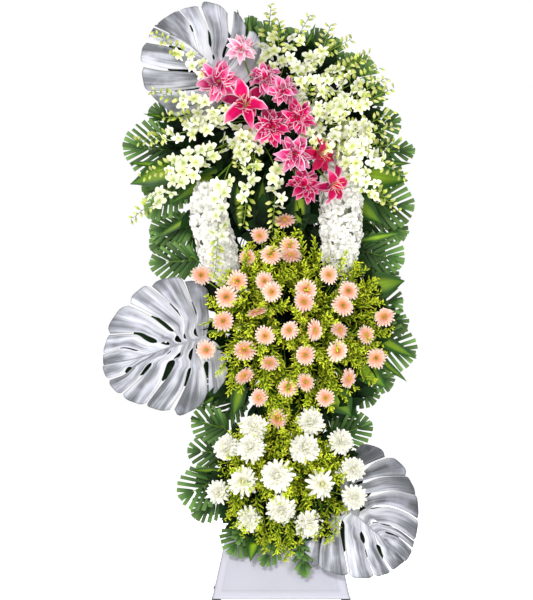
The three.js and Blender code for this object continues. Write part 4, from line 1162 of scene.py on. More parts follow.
@dataclass(frozen=True)
class PalmFronds:
    """Palm fronds with their leaflets trimmed square to a round fan."""

    spacing: float = 0.0222  # between the ends of leaflets
    half: float = 0.0068  # half width of a leaflet
    fan: tuple[float, float] = (128.0, 124.0)  # where the first leaflet ends, and how far the others spread
    slant: tuple[float, float] = (56.0, 30.0)  # from rib to first leaflet, and how much less at the last
    arch: float = 0.010  # how far the rib bulges out
    rib: tuple[float, float] = (0.0022, 0.0008)  # its radius at base and tip
    stalk: float = 0.0022  # radius

    LEAFLET = Blade((0.7, 0.95, 1.0, 1.05, 1.1), thick=0.06, cup=-0.3)
    COMPANIONS = ((0.1, 0.014, 0.6), (-0.2, 0.024, 0.52))  # turn, how far behind, and size
    BACK_COMPANION = (0.15, 0.012, 0.7)
    FORWARD = -0.4  # before the panel the companions stand in front instead
    FRONDS = {
        "palm_top_left": (Level.TOP, ("left", 18, 1590), (
            Leaf((-250, 8, 1493), (-462, 4, 1510), 95),
            Leaf((-215, 26, 1540), (-372, 30, 1640), 62),
            Leaf((-250, -8, 1400), (-380, -6, 1272), 62),
        )),
        "palm_top": (Level.TOP, ("top", 84, 20), (
            Leaf((34, 4, 1725), (22, 8, 1932), 78),
            Leaf((133, 22, 1725), (215, 26, 1904), 76),
            Leaf((225, 0, 1655), (375, 2, 1800), 78, via=(170, 6, 1698)),
        )),
        "palm_top_right": (Level.TOP, ("right", 18, 1560), (
            Leaf((317, 26, 1560), (474, 30, 1600), 62),
            Leaf((368, -6, 1493), (520, -6, 1493), 46),
            Leaf((350, 14, 1327), (518, 10, 1300), 86),
            Leaf((317, 0, 1165), (484, 0, 1122), 78),
        )),
        "palm_mid_left": (Level.MID, ("left", 18, 945), (
            Leaf((-225, 22, 1243), (-373, 24, 1220), 62),
            Leaf((-210, 4, 1127), (-372, 4, 1118), 66),
        )),
        "palm_mid_right": (Level.MID, ("right", 18, 930), (
            Leaf((340, 22, 977), (484, 24, 993), 72),
            Leaf((333, 2, 860), (525, 4, 808), 92),
            Leaf((283, 22, 760), (388, 24, 643), 72),
        )),
        "palm_low_left": (Level.LOW, ("left", 18, 450), (
            Leaf((-117, 2, 560), (-232, 2, 595), 62),
            Leaf((-117, 22, 477), (-245, 24, 487), 56),
            Leaf((-140, 0, 393), (-272, 0, 327), 76),
        )),
        "palm_low_right": (Level.LOW, ("right", 18, 455), (
            Leaf((240, 10, 527), (375, 12, 582), 64),
        )),
        "palm_low_front": (Level.LOW, ("front", 60, 367), (
            Leaf((-46, -134, 236), (-108, -180, 150), 60, via=(-64, -130, 322)),
            Leaf((68, -150, 214), (5, -188, 112), 44, via=(60, -116, 325)),
            Leaf((134, -150, 200), (148, -202, 74), 32, via=(122, -116, 325)),
        )),
    }

    # Fronds of the scene alone, behind those of the nodes
    MORE = {
        "fronds_top_back": (
            Leaf((-20, 44, 1690), (-30, 50, 1950), 56), Leaf((80, 50, 1690), (108, 56, 1915), 66),
            Leaf((160, 44, 1670), (262, 50, 1878), 62), Leaf((215, 52, 1640), (318, 56, 1826), 62),
            Leaf((250, 40, 1600), (418, 46, 1712), 62), Leaf((-70, 40, 1660), (-190, 44, 1760), 56),
        ),
        "fronds_side_back": (
            Leaf((300, 48, 1440), (486, 52, 1400), 66), Leaf((300, 46, 1270), (500, 50, 1215), 62),
            Leaf((300, 46, 1120), (470, 50, 1060), 60), Leaf((-190, 46, 1380), (-400, 50, 1370), 66),
            Leaf((-200, 48, 1240), (-372, 52, 1170), 62), Leaf((310, 40, 960), (500, 46, 900), 66),
            Leaf((280, 44, 800), (450, 48, 700), 62),
        ),
        "fronds_low_back": (
            Leaf((-100, 40, 740), (-230, 46, 640), 60), Leaf((-60, 46, 690), (-150, 50, 560), 56),
            Leaf((200, 46, 640), (330, 50, 560), 60), Leaf((-105, 36, 352), (-228, 42, 262), 56),
            Leaf((200, 40, 620), (300, 46, 640), 50),
        ),
    }

    def build(self) -> None:
        """Builds each node's fronds, with others behind them that close the gaps between."""
        for name, values, surface, rng in pieces(self.FRONDS, 300, "palm_green", "fronds_"):
            level, root, leaves = values
            start = level.value.root(*root)
            for leaf in leaves:
                self._frond(surface, leaf, rng)
                leaf.stalk(surface, start, self.stalk)
                for spin, back, share in self.COMPANIONS:
                    if name == "palm_low_front":
                        back *= self.FORWARD
                    self._frond(surface, self._behind(leaf, spin, back, share), rng)
        for _, leaves, surface, rng in pieces(self.MORE, 350, "palm_green", own=True):
            for leaf in leaves:
                self._frond(surface, leaf, rng)
                self._frond(surface, self._behind(leaf, *self.BACK_COMPANION), rng)

    @staticmethod
    def _behind(leaf: Leaf, spin: float, back: float, share: float) -> Leaf:
        """A like frond a little behind, turned by spin about the base and shorter."""
        base, tip = np.array(leaf.base, float), np.array(leaf.tip, float)
        reach = (tip - base) * share
        turned = reach[0] * math.cos(spin) - reach[2] * math.sin(spin)
        lifted = reach[0] * math.sin(spin) + reach[2] * math.cos(spin)
        moved = base + np.array([0, back / MM, 0])
        return Leaf(tuple(moved), tuple(moved + np.array([turned, reach[1], lifted])), leaf.half * share)

    def _frond(self, surface: Surface, leaf: Leaf, rng: Random) -> None:
        """One frond: leaflets run forward from its rib to an ellipse round it, where they are cut off."""
        base, along, across, out, length = leaf.frame()
        half = leaf.half * MM
        (first, over), (steep, less) = self.fan, self.slant
        outline = math.radians(over) * math.sqrt((half**2 + length**2 / 4) / 2)
        share = np.linspace(0, 1, round(outline / self.spacing) + 1)
        polar = np.radians(first - over * share)
        slant = np.radians(steep - less * share)
        root = length * (0.5 + 0.5 * np.cos(polar)) - half * np.sin(polar) / np.tan(slant)
        root = np.clip(root, (-0.08 + 0.4 * share) * length, 0.66 * length)
        ends = np.stack([length * (0.5 + 0.5 * np.cos(polar)), half * np.sin(polar)], -1)
        count = len(root)
        for side in (1, -1):
            reach = ends - np.stack([root, np.zeros_like(root)], -1)
            size = np.linalg.norm(reach, axis=-1)
            heading = reach / size[:, None]
            direction = heading[:, :1] * along + side * heading[:, 1:] * across
            lift = self.arch * np.sin(np.pi * np.maximum(root, 0) / length) + rng.normal(0, 0.0012, count)
            start = base + root[:, None] * along + lift[:, None] * out
            upward = square_to(unit(out + rng.normal(0, 0.06, (count, 3))), direction)
            self.LEAFLET.grow(
                surface, PALM, start, direction, upward, size * rng.uniform(0.95, 1.04, count),
                self.half * rng.uniform(0.85, 1.1, count), rise=0.1, curl=rng.uniform(-0.35, -0.1, count),
                tone=rng.random(count), twist=rng.normal(0, 0.3, count),
            )
        x = np.linspace(0, 0.98, 10)[:, None] * length
        path = base + x * along + self.arch * np.sin(np.pi * x / length) * out
        tube(surface, STEM, path[None], np.linspace(*self.rib, 10), 4, rng.random())


@dataclass(frozen=True)
class StripedLeaves:
    """Broad pointed leaves with a stripe along the middle."""

    stalk: float = 0.0022  # radius

    BLADE = Blade(
        (0.12, 0.45, 0.72, 0.9, 1.0, 0.98, 0.88, 0.7, 0.46, 0.22, 0.03), columns=7, thick=0.03, cup=0.22,
        ruffle=0.08, waves=1.5,
    )
    LEAVES = {
        "strap_top_left": (Level.TOP, ("left", -22, 1573), STRIPED, (
            Leaf((-83, -30, 1455), (-298, -40, 1317), 34),
            Leaf((-150, -34, 1480), (-335, -42, 1433), 22),
            Leaf((-240, -22, 1450), (-434, -24, 1382), 44),
        )),
        "strap_top_right": (Level.TOP, ("right", -22, 1577), STRIPED, (
            Leaf((300, -24, 1425), (494, -28, 1393), 48),
            Leaf((285, -34, 1350), (408, -40, 1250), 38),
        )),
        "strap_mid_right": (Level.MID, ("right", -22, 945), STRIPED, (
            Leaf((340, -24, 1030), (484, -26, 1057), 44),
            Leaf((360, -28, 887), (524, -30, 797), 22),
            Leaf((317, -32, 795), (421, -36, 700), 40),
        )),
        "strap_arch": (Level.TOP, ("front", 60, 1522), DEEP_STRIPED, (
            Leaf((-70, -62, 1400), (-67, -52, 1222), 34),
            Leaf((8, -60, 1390), (0, -48, 1193), 30),
            Leaf((133, -62, 1380), (133, -52, 1195), 36),
        )),
        "strap_mid_low": (Level.MID, ("front", 45, 869), STRIPED, (
            Leaf((-57, -62, 735), (-90, -50, 602), 26),
            Leaf((60, -60, 700), (48, -48, 548), 44),
            Leaf((235, -62, 700), (304, -54, 606), 44),
        )),
        "strap_low": (Level.LOW, ("front", -22, 372), STRIPED, (
            Leaf((-14, -146, 215), (-32, -200, 128), 22, via=(-30, -98, 328)),
        )),
    }

    # Narrow leaves of the scene alone, at the top and between the fronds
    SLIM = Blade((0.3, 0.7, 1.0, 0.9, 0.6, 0.05), thick=0.05, cup=0.3)
    MORE = (
        Leaf((-50, -6, 1780), (-76, -10, 1968), 12), Leaf((-30, -10, 1790), (-38, -16, 1950), 13),
        Leaf((0, -4, 1760), (10, -8, 1905), 12), Leaf((-70, -14, 1770), (-110, -20, 1900), 12),
        Leaf((60, -8, 1780), (66, -12, 1925), 11), Leaf((120, -6, 1760), (186, -12, 1922), 12),
        Leaf((170, -10, 1750), (246, -16, 1884), 12), Leaf((230, -10, 1700), (345, -16, 1822), 13),
        Leaf((290, -8, 1640), (432, -14, 1668), 13), Leaf((330, -10, 1450), (506, -16, 1452), 14),
        Leaf((-250, -10, 1440), (-440, -16, 1452), 14), Leaf((-230, -8, 1590), (-392, -14, 1618), 13),
        Leaf((-200, -10, 1290), (-350, -14, 1200), 13), Leaf((330, -8, 1190), (470, -14, 1220), 14),
        Leaf((350, -10, 840), (492, -16, 720), 14), Leaf((-100, -8, 700), (-196, -14, 640), 12),
        Leaf((-110, -10, 420), (-236, -16, 420), 12),
    )

    def build(self) -> None:
        """Builds each node's leaves on their stalks, and the slim ones."""
        for _, values, surface, rng in pieces(self.LEAVES, 400, "striped_green", "leaves_"):
            level, root, finish, leaves = values
            for leaf in leaves:
                base, along, _, out, length = leaf.frame()
                self.BLADE.grow(
                    surface, finish, base[None], along[None], out[None], length * 1.01,
                    leaf.half * MM, rise=0.16, curl=-0.32, tone=rng.random(),
                    twist=rng.normal(0, 0.15),
                )
                leaf.stalk(surface, level.value.root(*root), self.stalk)
        surface = Surface()
        rng = np.random.default_rng(450)
        for leaf in self.MORE:
            base, along, _, out, length = leaf.frame()
            self.SLIM.grow(
                surface, STRIPED, base[None], along[None], out[None], length, leaf.half * MM, rise=0.1,
                curl=-0.2, tone=rng.random(), twist=rng.normal(0, 0.5),
            )
        surface.publish("leaves_slim", "striped_green")


@dataclass(frozen=True)
class Backing:
    """Leaves between the flowers and the foam of each tier that close the gaps; their near-black is painted
    shade.
    """

    length: tuple[float, float] = (0.06, 0.12)
    half: tuple[float, float] = (0.15, 0.26)  # half width by length

    LEAF = Blade((0.2, 0.75, 1.0, 0.72, 0.1), thick=0.05, cup=0.3)
    FIELDS = {
        "top": (Level.TOP, (40, 1545), (350, 310), 420),
        "arch": (Level.TOP, (60, 1240), (290, 170), 220),
        "mid": (Level.MID, (95, 895), (325, 325), 420),
        "low": (Level.LOW, (80, 400), (225, 205), 270),
    }

    def build(self) -> None:
        """Scatters each tier's leaves over an ellipse, heading out from its middle."""
        for _, values, surface, rng in pieces(self.FIELDS, 500, "palm_green", "painted_shade_leaves_", own=True):
            level, middle, reach, count = values
            angle = rng.uniform(0, 2 * np.pi, count)
            out = np.sqrt(rng.uniform(0.02, 1, count))
            x = middle[0] + out * reach[0] * np.cos(angle)
            z = middle[1] + out * reach[1] * np.sin(angle)
            bulge = 50 * (1 - out) * rng.random(count)
            depth = -20 - bulge - 18 * rng.random(count)
            base = np.stack([x, depth, z], -1) * MM
            heading = np.stack([np.cos(angle), np.zeros(count), np.sin(angle)], -1)
            heading = unit(heading + rng.normal(0, 0.55, (count, 3)) * [1, 0.35, 1])
            up = square_to(unit(VIEWER + rng.normal(0, 0.4, (count, 3))), heading)
            size = rng.uniform(*self.length, count)
            lowest = base[:, 2] - np.abs(heading[:, 2]) * size * 0.5
            front = Stand.before_panel(lowest) + 0.004 - np.abs(heading[:, 1]) * size * 0.4
            base[:, 1] = np.minimum(base[:, 1], front)
            start = base - heading * size[:, None] * 0.5
            self.LEAF.grow(
                surface, PAINTED_SHADE_LEAF, start, heading, up, size, size * rng.uniform(*self.half, count),
                rise=rng.uniform(0, 0.5, count), curl=rng.uniform(-1.0, -0.3, count),
                tone=rng.random(count),
            )
            tier = level.value
            root = tier.root("front", tier.foam_x, tier.foam_bottom + 60)
            below = start[:, 2:] < Stand.OVER[2]
            over = np.where(below, start * [1, 0, 0] + Stand.OVER, (root + start) / 2)
            path = np.stack([np.broadcast_to(root, start.shape), over, start], axis=1)
            tube(surface, PAINTED_SHADE_LEAF, path, 0.0011, 4)


# Flowers


@dataclass(frozen=True)
class Gerberas:
    """Peach gerberas of the middle tier."""

    size: float = 0.0365  # half the width of a head
    eye: int = 40  # florets of an eye
    stem: float = 0.0019  # radius

    RAY = Blade((0.4, 0.8, 1.0, 0.95, 0.5), thick=0.12, cup=0.22)
    PLAY = Play((0.86, 1.08), (0.85, 1.1), (-0.12, 0.12), (-0.25, 0.15), (-0.25, 0.25))
    FLORET = Blade((0.5, 1.0, 0.3), thick=1.0, cup=0.0, round=True)
    SEPAL = Blade((0.8, 1.0, 0.1), thick=0.2)

    # Rows of rays: count, start, length and half width by size, rise, curl, height, finish
    RINGS = (
        (19, 0.16, 0.86, 0.118, 0.0, 0.0, 0.0, GERBERA),
        (17, 0.14, 0.76, 0.108, 0.22, -0.1, 0.0014, GERBERA),
        (17, 0.17, 0.34, 0.075, 0.4, -0.3, 0.0026, GERBERA_HEART),
    )
    HEADS = {
        "gerberas_top": ((62, 965), (
            (82, 1257), (98, 1172), (102, 1131, 22), (36, 1142), (-1, 1209), (-42, 1134), (16, 1056),
            (44, 1013, 22),
        )),
        "gerberas_upper_left": ((10, 925), (
            (-196, 1075), (-74, 1056), (-109, 1002, 8), (-9, 953), (-121, 923),
        )),
        "gerberas_lower_left": ((22, 880), (
            (17, 875), (-174, 828, 12), (-50, 826), (-51, 740), (31, 784),
        )),
        "gerberas_bottom": ((76, 872), ((-3, 669), (92, 702), (59, 599), (150, 721), (217, 668))),
        "gerberas_lower_right": ((118, 895), (
            (98, 893), (180, 893), (263, 893), (352, 877), (150, 811), (256, 825), (387, 799), (293, 732),
        )),
        "gerberas_upper_right": ((112, 940), (
            (227, 1077), (153, 1027), (141, 980, 22), (294, 1023), (266, 971, 20), (415, 936),
        )),
    }

    # How much further some are turned up
    UPTURNED = {(82, 1257): 1.3, (31, 784): 0.8, (-9, 953): 0.8, (263, 893): 0.6, (92, 702): 0.6}

    def build(self) -> None:
        """Builds each bunch: rays in three rows, an eye of florets, sepals and a stem."""
        tier = Level.MID.value
        for _, (root, heads), surface, rng in pieces(self.HEADS, 600, "gerbera_peach", "blooms_"):
            rows = np.array([(*head, 0)[:3] for head in heads], float)
            place, outward = tier.on(*rows.T)
            spread = rng.normal(0, 0.3, place.shape)
            outward = unit(outward * 0.5 + VIEWER * 0.5 + UPWARD * 0.18 + spread)
            more = np.array([self.UPTURNED.get(head[:2], 0.0) for head in heads])
            outward = unit(outward + more[:, None] * UPWARD)
            size = self.size * rng.uniform(0.84, 1.1, len(place))
            self._rays(surface, place, outward, size, rng)
            self._eyes(surface, place, outward, size, rng)
            path = bowed(
                tier.root("front", *root), place - outward * 0.006, rng.normal(0, 0.006, place.shape)
            )
            tube(surface, STEM, path, self.stem, 6, rng.random(len(place)))

    def _rays(self, surface: Surface, place: Array, outward: Array, size: Array, rng: Random) -> None:
        """The rows of rays of a bunch's heads, near one tone on each head."""
        for count, inner, length, half, rise, curl, height, finish in self.RINGS:
            roll = rng.uniform(0, 6, len(place))
            spots = spokes(place, outward, count, roll, size * inner, height)
            each = np.repeat(size, count)

            def tone() -> Array:
                """The tone of each head, and a little of each ray's own."""
                own = np.repeat(rng.random(len(place)), count) * 0.6
                return np.clip(own + rng.uniform(0, 0.4, len(each)), 0, 1)

            shape = (each * length, each * half, rise, curl)
            self.PLAY.grow(self.RAY, surface, finish, spots, shape, rng, tone)

    def _eyes(self, surface: Surface, place: Array, outward: Array, size: Array, rng: Random) -> None:
        """The eyes of a bunch, each a low dome of florets on a spiral, and the sepals behind."""
        level, upper = frames(outward)
        angle = GOLDEN_ANGLE * np.arange(self.eye)
        radius = np.sqrt((np.arange(self.eye) + 0.5) / self.eye)
        flat = (radius * np.cos(angle))[:, None] * level[:, None]
        flat = flat + (radius * np.sin(angle))[:, None] * upper[:, None]
        spot = place[:, None] + flat * size[:, None, None] * 0.25
        dome = (1 - radius**2) * 0.0022 + 0.001
        start = (spot + outward[:, None] * dome[:, None]).reshape(-1, 3)
        up = np.repeat(outward, self.eye, axis=0)
        heading, _ = frames(up)
        tone = rng.random(len(start))
        self.FLORET.grow(surface, GERBERA_EYE, start, up, heading, 0.0036, 0.0012, tone=tone)
        roll = rng.uniform(0, 6, len(place))
        start, heading, up = spokes(place, -outward, 9, roll, 0.003, 0.001)
        self.SEPAL.grow(
            surface, STEM, start, heading, up, 0.009, 0.0028, rise=-0.7, curl=0.5,
            tone=rng.random(len(start)),
        )


@dataclass(frozen=True)
class Form:
    """How a chrysanthemum's petals change from the rim to the heart: their first value and the change."""

    counts: tuple[int, ...]  # petals in each row
    rise: tuple[float, float]
    curl: tuple[float, float]
    length: tuple[float, float]  # by size
    height: float  # of the heart's row over the rim's, by size


@dataclass(frozen=True)
class Chrysanthemums:
    """White chrysanthemums of the low tier."""

    half: float = 0.165  # half width of a petal by the head's size
    stem: float = 0.0023  # radius
    disc: tuple[float, float] = (0.2, 0.03)  # their length and half width, by size

    PETAL = Blade((0.45, 0.8, 1.0, 0.95, 0.45), thick=0.14, cup=0.5)
    PLAY = Play((0.86, 1.1), (0.8, 1.15), (-0.22, 0.22), (-0.2, 0.5), (-0.6, 0.6))
    FULL = Form((15, 16, 16, 15, 14, 12, 10, 8, 6, 4), (-0.3, 1.5), (0.1, 0.9), (1.18, -0.68), 0.34)
    LOOSE = Form((13, 13, 11, 8), (-0.25, 1.2), (0.1, 0.3), (1.18, -0.45), 0.06)
    HEADS = {
        "chrysanthemums_upper_left": ((25, 450), (
            (-19, 568, 0, 40), (-24, 497, 18, 40), (-111, 502, 0, 36),
        )),
        "chrysanthemums_lower_left": ((22, 408), (
            (-54, 390, 0, 43), (-139, 355, 0, 34), (-26, 278, 30, 37),
        )),
        "chrysanthemums_upper_right": ((115, 450), (
            (146, 497, 10, 43), (167, 587, 0, 40), (268, 521, 0, 37), (305, 430, 12, 34),
        )),
        "chrysanthemums_lower_right": ((110, 395), (
            (58, 413, 0, 45), (72, 301, 6, 42), (202, 383, 0, 41), (295, 345, 45, 35), (154, 266, 34, 40),
        )),
    }
    OPEN = {(202, 383), (-54, 390)}  # the loose ones, whose hearts show

    def build(self) -> None:
        """Builds each bunch: petals in rows from the rim, that hangs, to the heart, that closes."""
        tier = Level.LOW.value
        for _, (root, heads), surface, rng in pieces(self.HEADS, 700, "chrysanthemum_white", "blooms_"):
            rows = np.array(heads, float)
            place, outward = tier.on(*rows.T[:3])
            spread = rng.normal(0, 0.1, place.shape)
            outward = unit(outward * 0.6 + VIEWER * 0.4 + UPWARD * 0.1 + spread)
            for i, head in enumerate(heads):
                one = slice(i, i + 1)
                self._head(surface, place[one], outward[one], head[3] * MM, head[:2] in self.OPEN, rng)
            bow = rng.normal(0, 0.004, place.shape)
            path = bowed(tier.root("front", *root), place - outward * 0.012, bow)
            tube(surface, STEM, path, self.stem, 6)

    def _head(
        self, surface: Surface, place: Array, outward: Array, size: float, loose: bool,
        rng: Random,
    ) -> None:
        """One head: from row to row its petals rise and curl inwards more, and get shorter."""
        form = self.LOOSE if loose else self.FULL
        for row, count in enumerate(form.counts):
            share = row / (len(form.counts) - 1)
            roll = rng.uniform(0, 6, 1)
            inner = size * (0.12 * math.cos(math.pi / 2 * share))
            spots = spokes(place, outward, count, roll, inner, size * form.height * share)
            rise, curl, length = (
                first + change * share for first, change in (form.rise, form.curl, form.length)
            )
            finish = MUM if share < 0.8 else MUM_HEART
            shape = (size * length, size * self.half, rise, curl)
            self.PLAY.grow(self.PETAL, surface, finish, spots, shape, rng)
        if loose:
            spots = spokes(place, outward, 22, rng.uniform(0, 6, 1), size * 0.1, size * 0.12)
            length, half = (size * share for share in self.disc)
            self.PETAL.grow(surface, GERBERA_EYE, *spots, length, half, rise=1.2, tone=0.8)


@dataclass(frozen=True)
class Lilies:
    """Pink lilies of the top tier, single and double."""

    stem: float = 0.0027  # radius

    PETAL = Blade(
        (0.3, 0.52, 0.78, 0.97, 1.0, 0.88, 0.62, 0.32, 0.04), columns=7, thick=0.05, cup=0.42,
        ruffle=0.7, waves=2.6,
    )
    PLAY = Play((0.94, 1.06), (0.92, 1.08), (-0.25, 0.25), (-0.6, 0.6), (-0.9, 0.9))
    ANTHER = Blade((0.4, 1.0, 1.0, 0.4), thick=0.8, cup=0.0, round=True)
    SWELL = np.array([1, 1, 1, 1, 1.3, 1.9])  # how the pistil widens to its tip

    # Rows of petals: count, turn, length and half width by size, rise, curl
    SINGLE = (
        (3, 0.0, 1.4, 0.24, 1.1, -2.2),
        (3, math.pi / 3, 1.34, 0.31, 1.2, -2.2),
        (3, 0.45, 0.8, 0.22, 1.4, -1.6),
    )
    DOUBLE = (
        (6, 0.3, 1.2, 0.26, 1.0, -1.5), (6, 0.8, 1.05, 0.23, 1.25, -1.6), (7, 0.1, 0.8, 0.2, 1.4, -1.3),
    )
    HEADS = {
        "lilies_upper_left": ((5, 1640), (
            (-52, 1806, 70, 48, True), (-118, 1704, 60, 66, True), (-32, 1632, 50, 78, False),
        )),
        "lilies_upper": ((60, 1645), ((22, 1712, 50, 54, True), (77, 1670, 40, 50, True))),
        "lilies_middle": ((65, 1585), ((42, 1566, 30, 62, True), (118, 1592, 28, 56, True))),
        "lilies_right": ((130, 1560), ((109, 1484, 40, 62, True), (192, 1482, 40, 60, False))),
        "lilies_lower": ((105, 1522), ((138, 1400, 70, 56, True), (222, 1398, 86, 64, False))),
    }
    FINISHES = {
        (-52, 1806): PALE_LILY, (-118, 1704): MID_LILY, (22, 1712): MID_LILY, (77, 1670): MID_LILY,
        (109, 1484): MID_LILY, (192, 1482): DEEP_LILY,
    }

    def build(self) -> None:
        """Builds each node's blooms with their stamens and stems."""
        tier = Level.TOP.value
        for _, (root, heads), surface, rng in pieces(self.HEADS, 800, "lily_pink", "blooms_"):
            for x, z, lift, size, double in heads:
                place, outward = tier.on(np.array([float(x)]), np.array([float(z)]), lift)
                outward = unit(outward * 0.4 + VIEWER * 0.6 + rng.normal(0, 0.24, place.shape))
                finish = self.FINISHES.get((x, z), LILY)
                self._bloom(surface, finish, place, outward, size * MM, double, rng)
                end = place - outward * size * 0.42 * MM
                tube(surface, STEM, bowed(tier.root("front", *root), end), self.stem, 6)

    def _bloom(
        self, surface: Surface, finish: Petal, place: Array, outward: Array, size: float,
        double: bool, rng: Random,
    ) -> None:
        """One bloom: its petals leave the throat steeply and turn over outwards."""
        throat = place - outward * size * 0.4
        turn = rng.uniform(0, 6, 1)
        for count, offset, length, half, rise, curl in self.SINGLE + (self.DOUBLE if double else ()):
            spots = spokes(throat, outward, count, turn + offset, size * 0.05)
            shape = (size * length, size * half, rise, curl)
            self.PLAY.grow(self.PETAL, surface, finish, spots, shape, rng)
        if double:
            return
        start, heading, up = spokes(throat, outward, 6, turn + 0.5, size * 0.05)
        end = start + heading * size * 0.22 + up * size * 0.72
        bow = -heading * size * 0.05
        tube(surface, FILAMENT, bowed(start, end, bow), 0.0007, 4)
        along = unit(up + heading * 0.6)
        self.ANTHER.grow(surface, ANTHER, end - up * 0.003, along, heading, 0.011, 0.0016)
        tip = throat + outward * size * 0.85
        tube(surface, FILAMENT, bowed(throat, tip), self.SWELL * 0.001, 6)


@dataclass(frozen=True)
class Orchids:
    """White orchids: their sprays, and the dense bunches between the lilies."""

    size: float = 0.0290  # length of a full floret's long petals
    full: tuple[float, float] = (0.78, 0.9)  # the share of it near the buds, and its gain for each metre
    apart: float = 0.0245  # between florets along a spray
    budding: float = 0.125  # how much of a spray's tip carries buds
    bunch_budding: float = 0.09  # that of the sprays of a dense bunch
    rows: int = 60  # points along a spray
    stem: tuple[float, float] = (0.0020, 0.0009)  # its radius at root and tip
    stalk: tuple[float, float] = (0.018, 0.0011)  # length and radius of an open floret's
    lip: tuple[float, float] = (0.62, 0.27)  # length and half width by size

    PETAL = Blade((0.34, 0.84, 1.0, 0.88, 0.28), thick=0.08, cup=0.24)
    PLAY = Play((0.9, 1.08), (0.9, 1.1), (-0.1, 0.4), (-0.4, 0.4), (-0.5, 0.5))
    BUD = Blade((0.3, 0.9, 1.0, 0.7, 0.12), thick=0.85, cup=0.0, round=True)

    # The petals of a floret: angle in degrees, length and half width by size, rise, curl
    PETALS = (
        (90, 1.0, 0.27, 0.1, -0.2), (20, 1.0, 0.42, 0.15, -0.4), (160, 1.0, 0.42, 0.15, -0.4),
        (235, 1.0, 0.25, 0.05, -0.3), (305, 1.0, 0.25, 0.05, -0.3),
    )
    SPRAYS = {
        "orchids_top": ((45, 1665), (
            ((22, -135, 1790), (38, -96, 1985)), ((95, -150, 1810), (170, -110, 1946)),
            ((150, -160, 1770), (312, -110, 1868)),
        )),
        "orchids_upper_right": ((135, 1655), (
            ((215, -165, 1725), (343, -125, 1806)), ((245, -160, 1680), (404, -120, 1768)),
            ((275, -155, 1625), (450, -118, 1700)),
        )),
        "orchids_right": ((158, 1600), (
            ((300, -150, 1560), (446, -112, 1622)), ((310, -150, 1500), (472, -110, 1518)),
            ((325, -165, 1420), (462, -130, 1285)),
        )),
        "orchids_left": ((-15, 1600), (
            ((-170, -150, 1740), (-356, -118, 1888)), ((-190, -160, 1640), (-366, -125, 1690)),
            ((-200, -150, 1560), (-418, -110, 1520)),
        )),
        "orchids_hanging": ((-10, 1545), (
            ((-180, -150, 1460), (-436, -110, 1255)), ((-115, -180, 1400), (-150, -165, 1070)),
            ((-30, -170, 1440), (-56, -120, 1230)), ((50, -160, 1420), (40, -110, 1205)),
        )),
    }

    # Slimmer sprays that stand beside those of a node
    BESIDE = {
        "orchids_top": (((60, -150, 1800), (62, -110, 1930)), ((190, -150, 1800), (238, -116, 1915))),
        "orchids_upper_right": (
            ((260, -150, 1740), (370, -128, 1820)), ((255, -165, 1640), (425, -128, 1735)),
        ),
        "orchids_right": (
            ((320, -150, 1540), (455, -120, 1570)), ((320, -160, 1500), (488, -122, 1400)),
            ((330, -150, 1380), (430, -130, 1330)),
        ),
        "orchids_left": (((-200, -160, 1600), (-330, -130, 1600)),),
        "orchids_hanging": (((-190, -150, 1480), (-400, -125, 1400)),),
    }

    # Each dense bunch: where its sprays start, the sector they fan over, how far they reach, their number
    BUNCHES = {
        "orchid_bunch_right": ((110, 1570), (-38, 100), (110, 255), 11),
        "orchid_bunch_left": ((0, 1570), (145, 225), (150, 310), 3),
        "orchid_bunch_middle": ((-20, 1560), (225, 285), (90, 170), 3),
    }

    def build(self) -> None:
        """Builds the sprays of each node, then the dense bunches."""
        for name, (root, sprays), surface, rng in pieces(self.SPRAYS, 900, "orchid_white", "sprays_"):
            start = Level.TOP.value.root("front", *root)
            finish = GREEN_ORCHID if name == "orchids_hanging" else ORCHID
            for via, tip in sprays + self.BESIDE.get(name, ()):
                points = [start, np.array(via) * MM, np.array(tip) * MM]
                self._spray(surface, finish, points, rng, self.budding)
        for _, bunch, surface, rng in pieces(self.BUNCHES, 950, "orchid_white", own=True):
            self._bunch(surface, *bunch, rng)

    def _florets(
        self, surface: Surface, finish: Petal, place: Array, outward: Array, size: Array,
        rng: Random,
    ) -> None:
        """Florets of two broad petals, three narrow ones and a lip."""
        roll = rng.normal(0, 0.35, len(place))
        tone = rng.random(len(place))
        for degrees, length, half, rise, curl in self.PETALS:
            spots = spokes(place, outward, 1, roll + math.radians(degrees), size * 0.06)
            shape = (size * length, size * half, rise, curl)
            self.PLAY.grow(self.PETAL, surface, finish, spots, shape, rng, tone)
        spots = spokes(place, outward, 1, roll - math.pi / 2, 0.0)
        length, half = (size * share for share in self.lip)
        self.PETAL.grow(surface, ORCHID_LIP, *spots, length, half, rise=0.9, curl=-1.2, tone=tone)

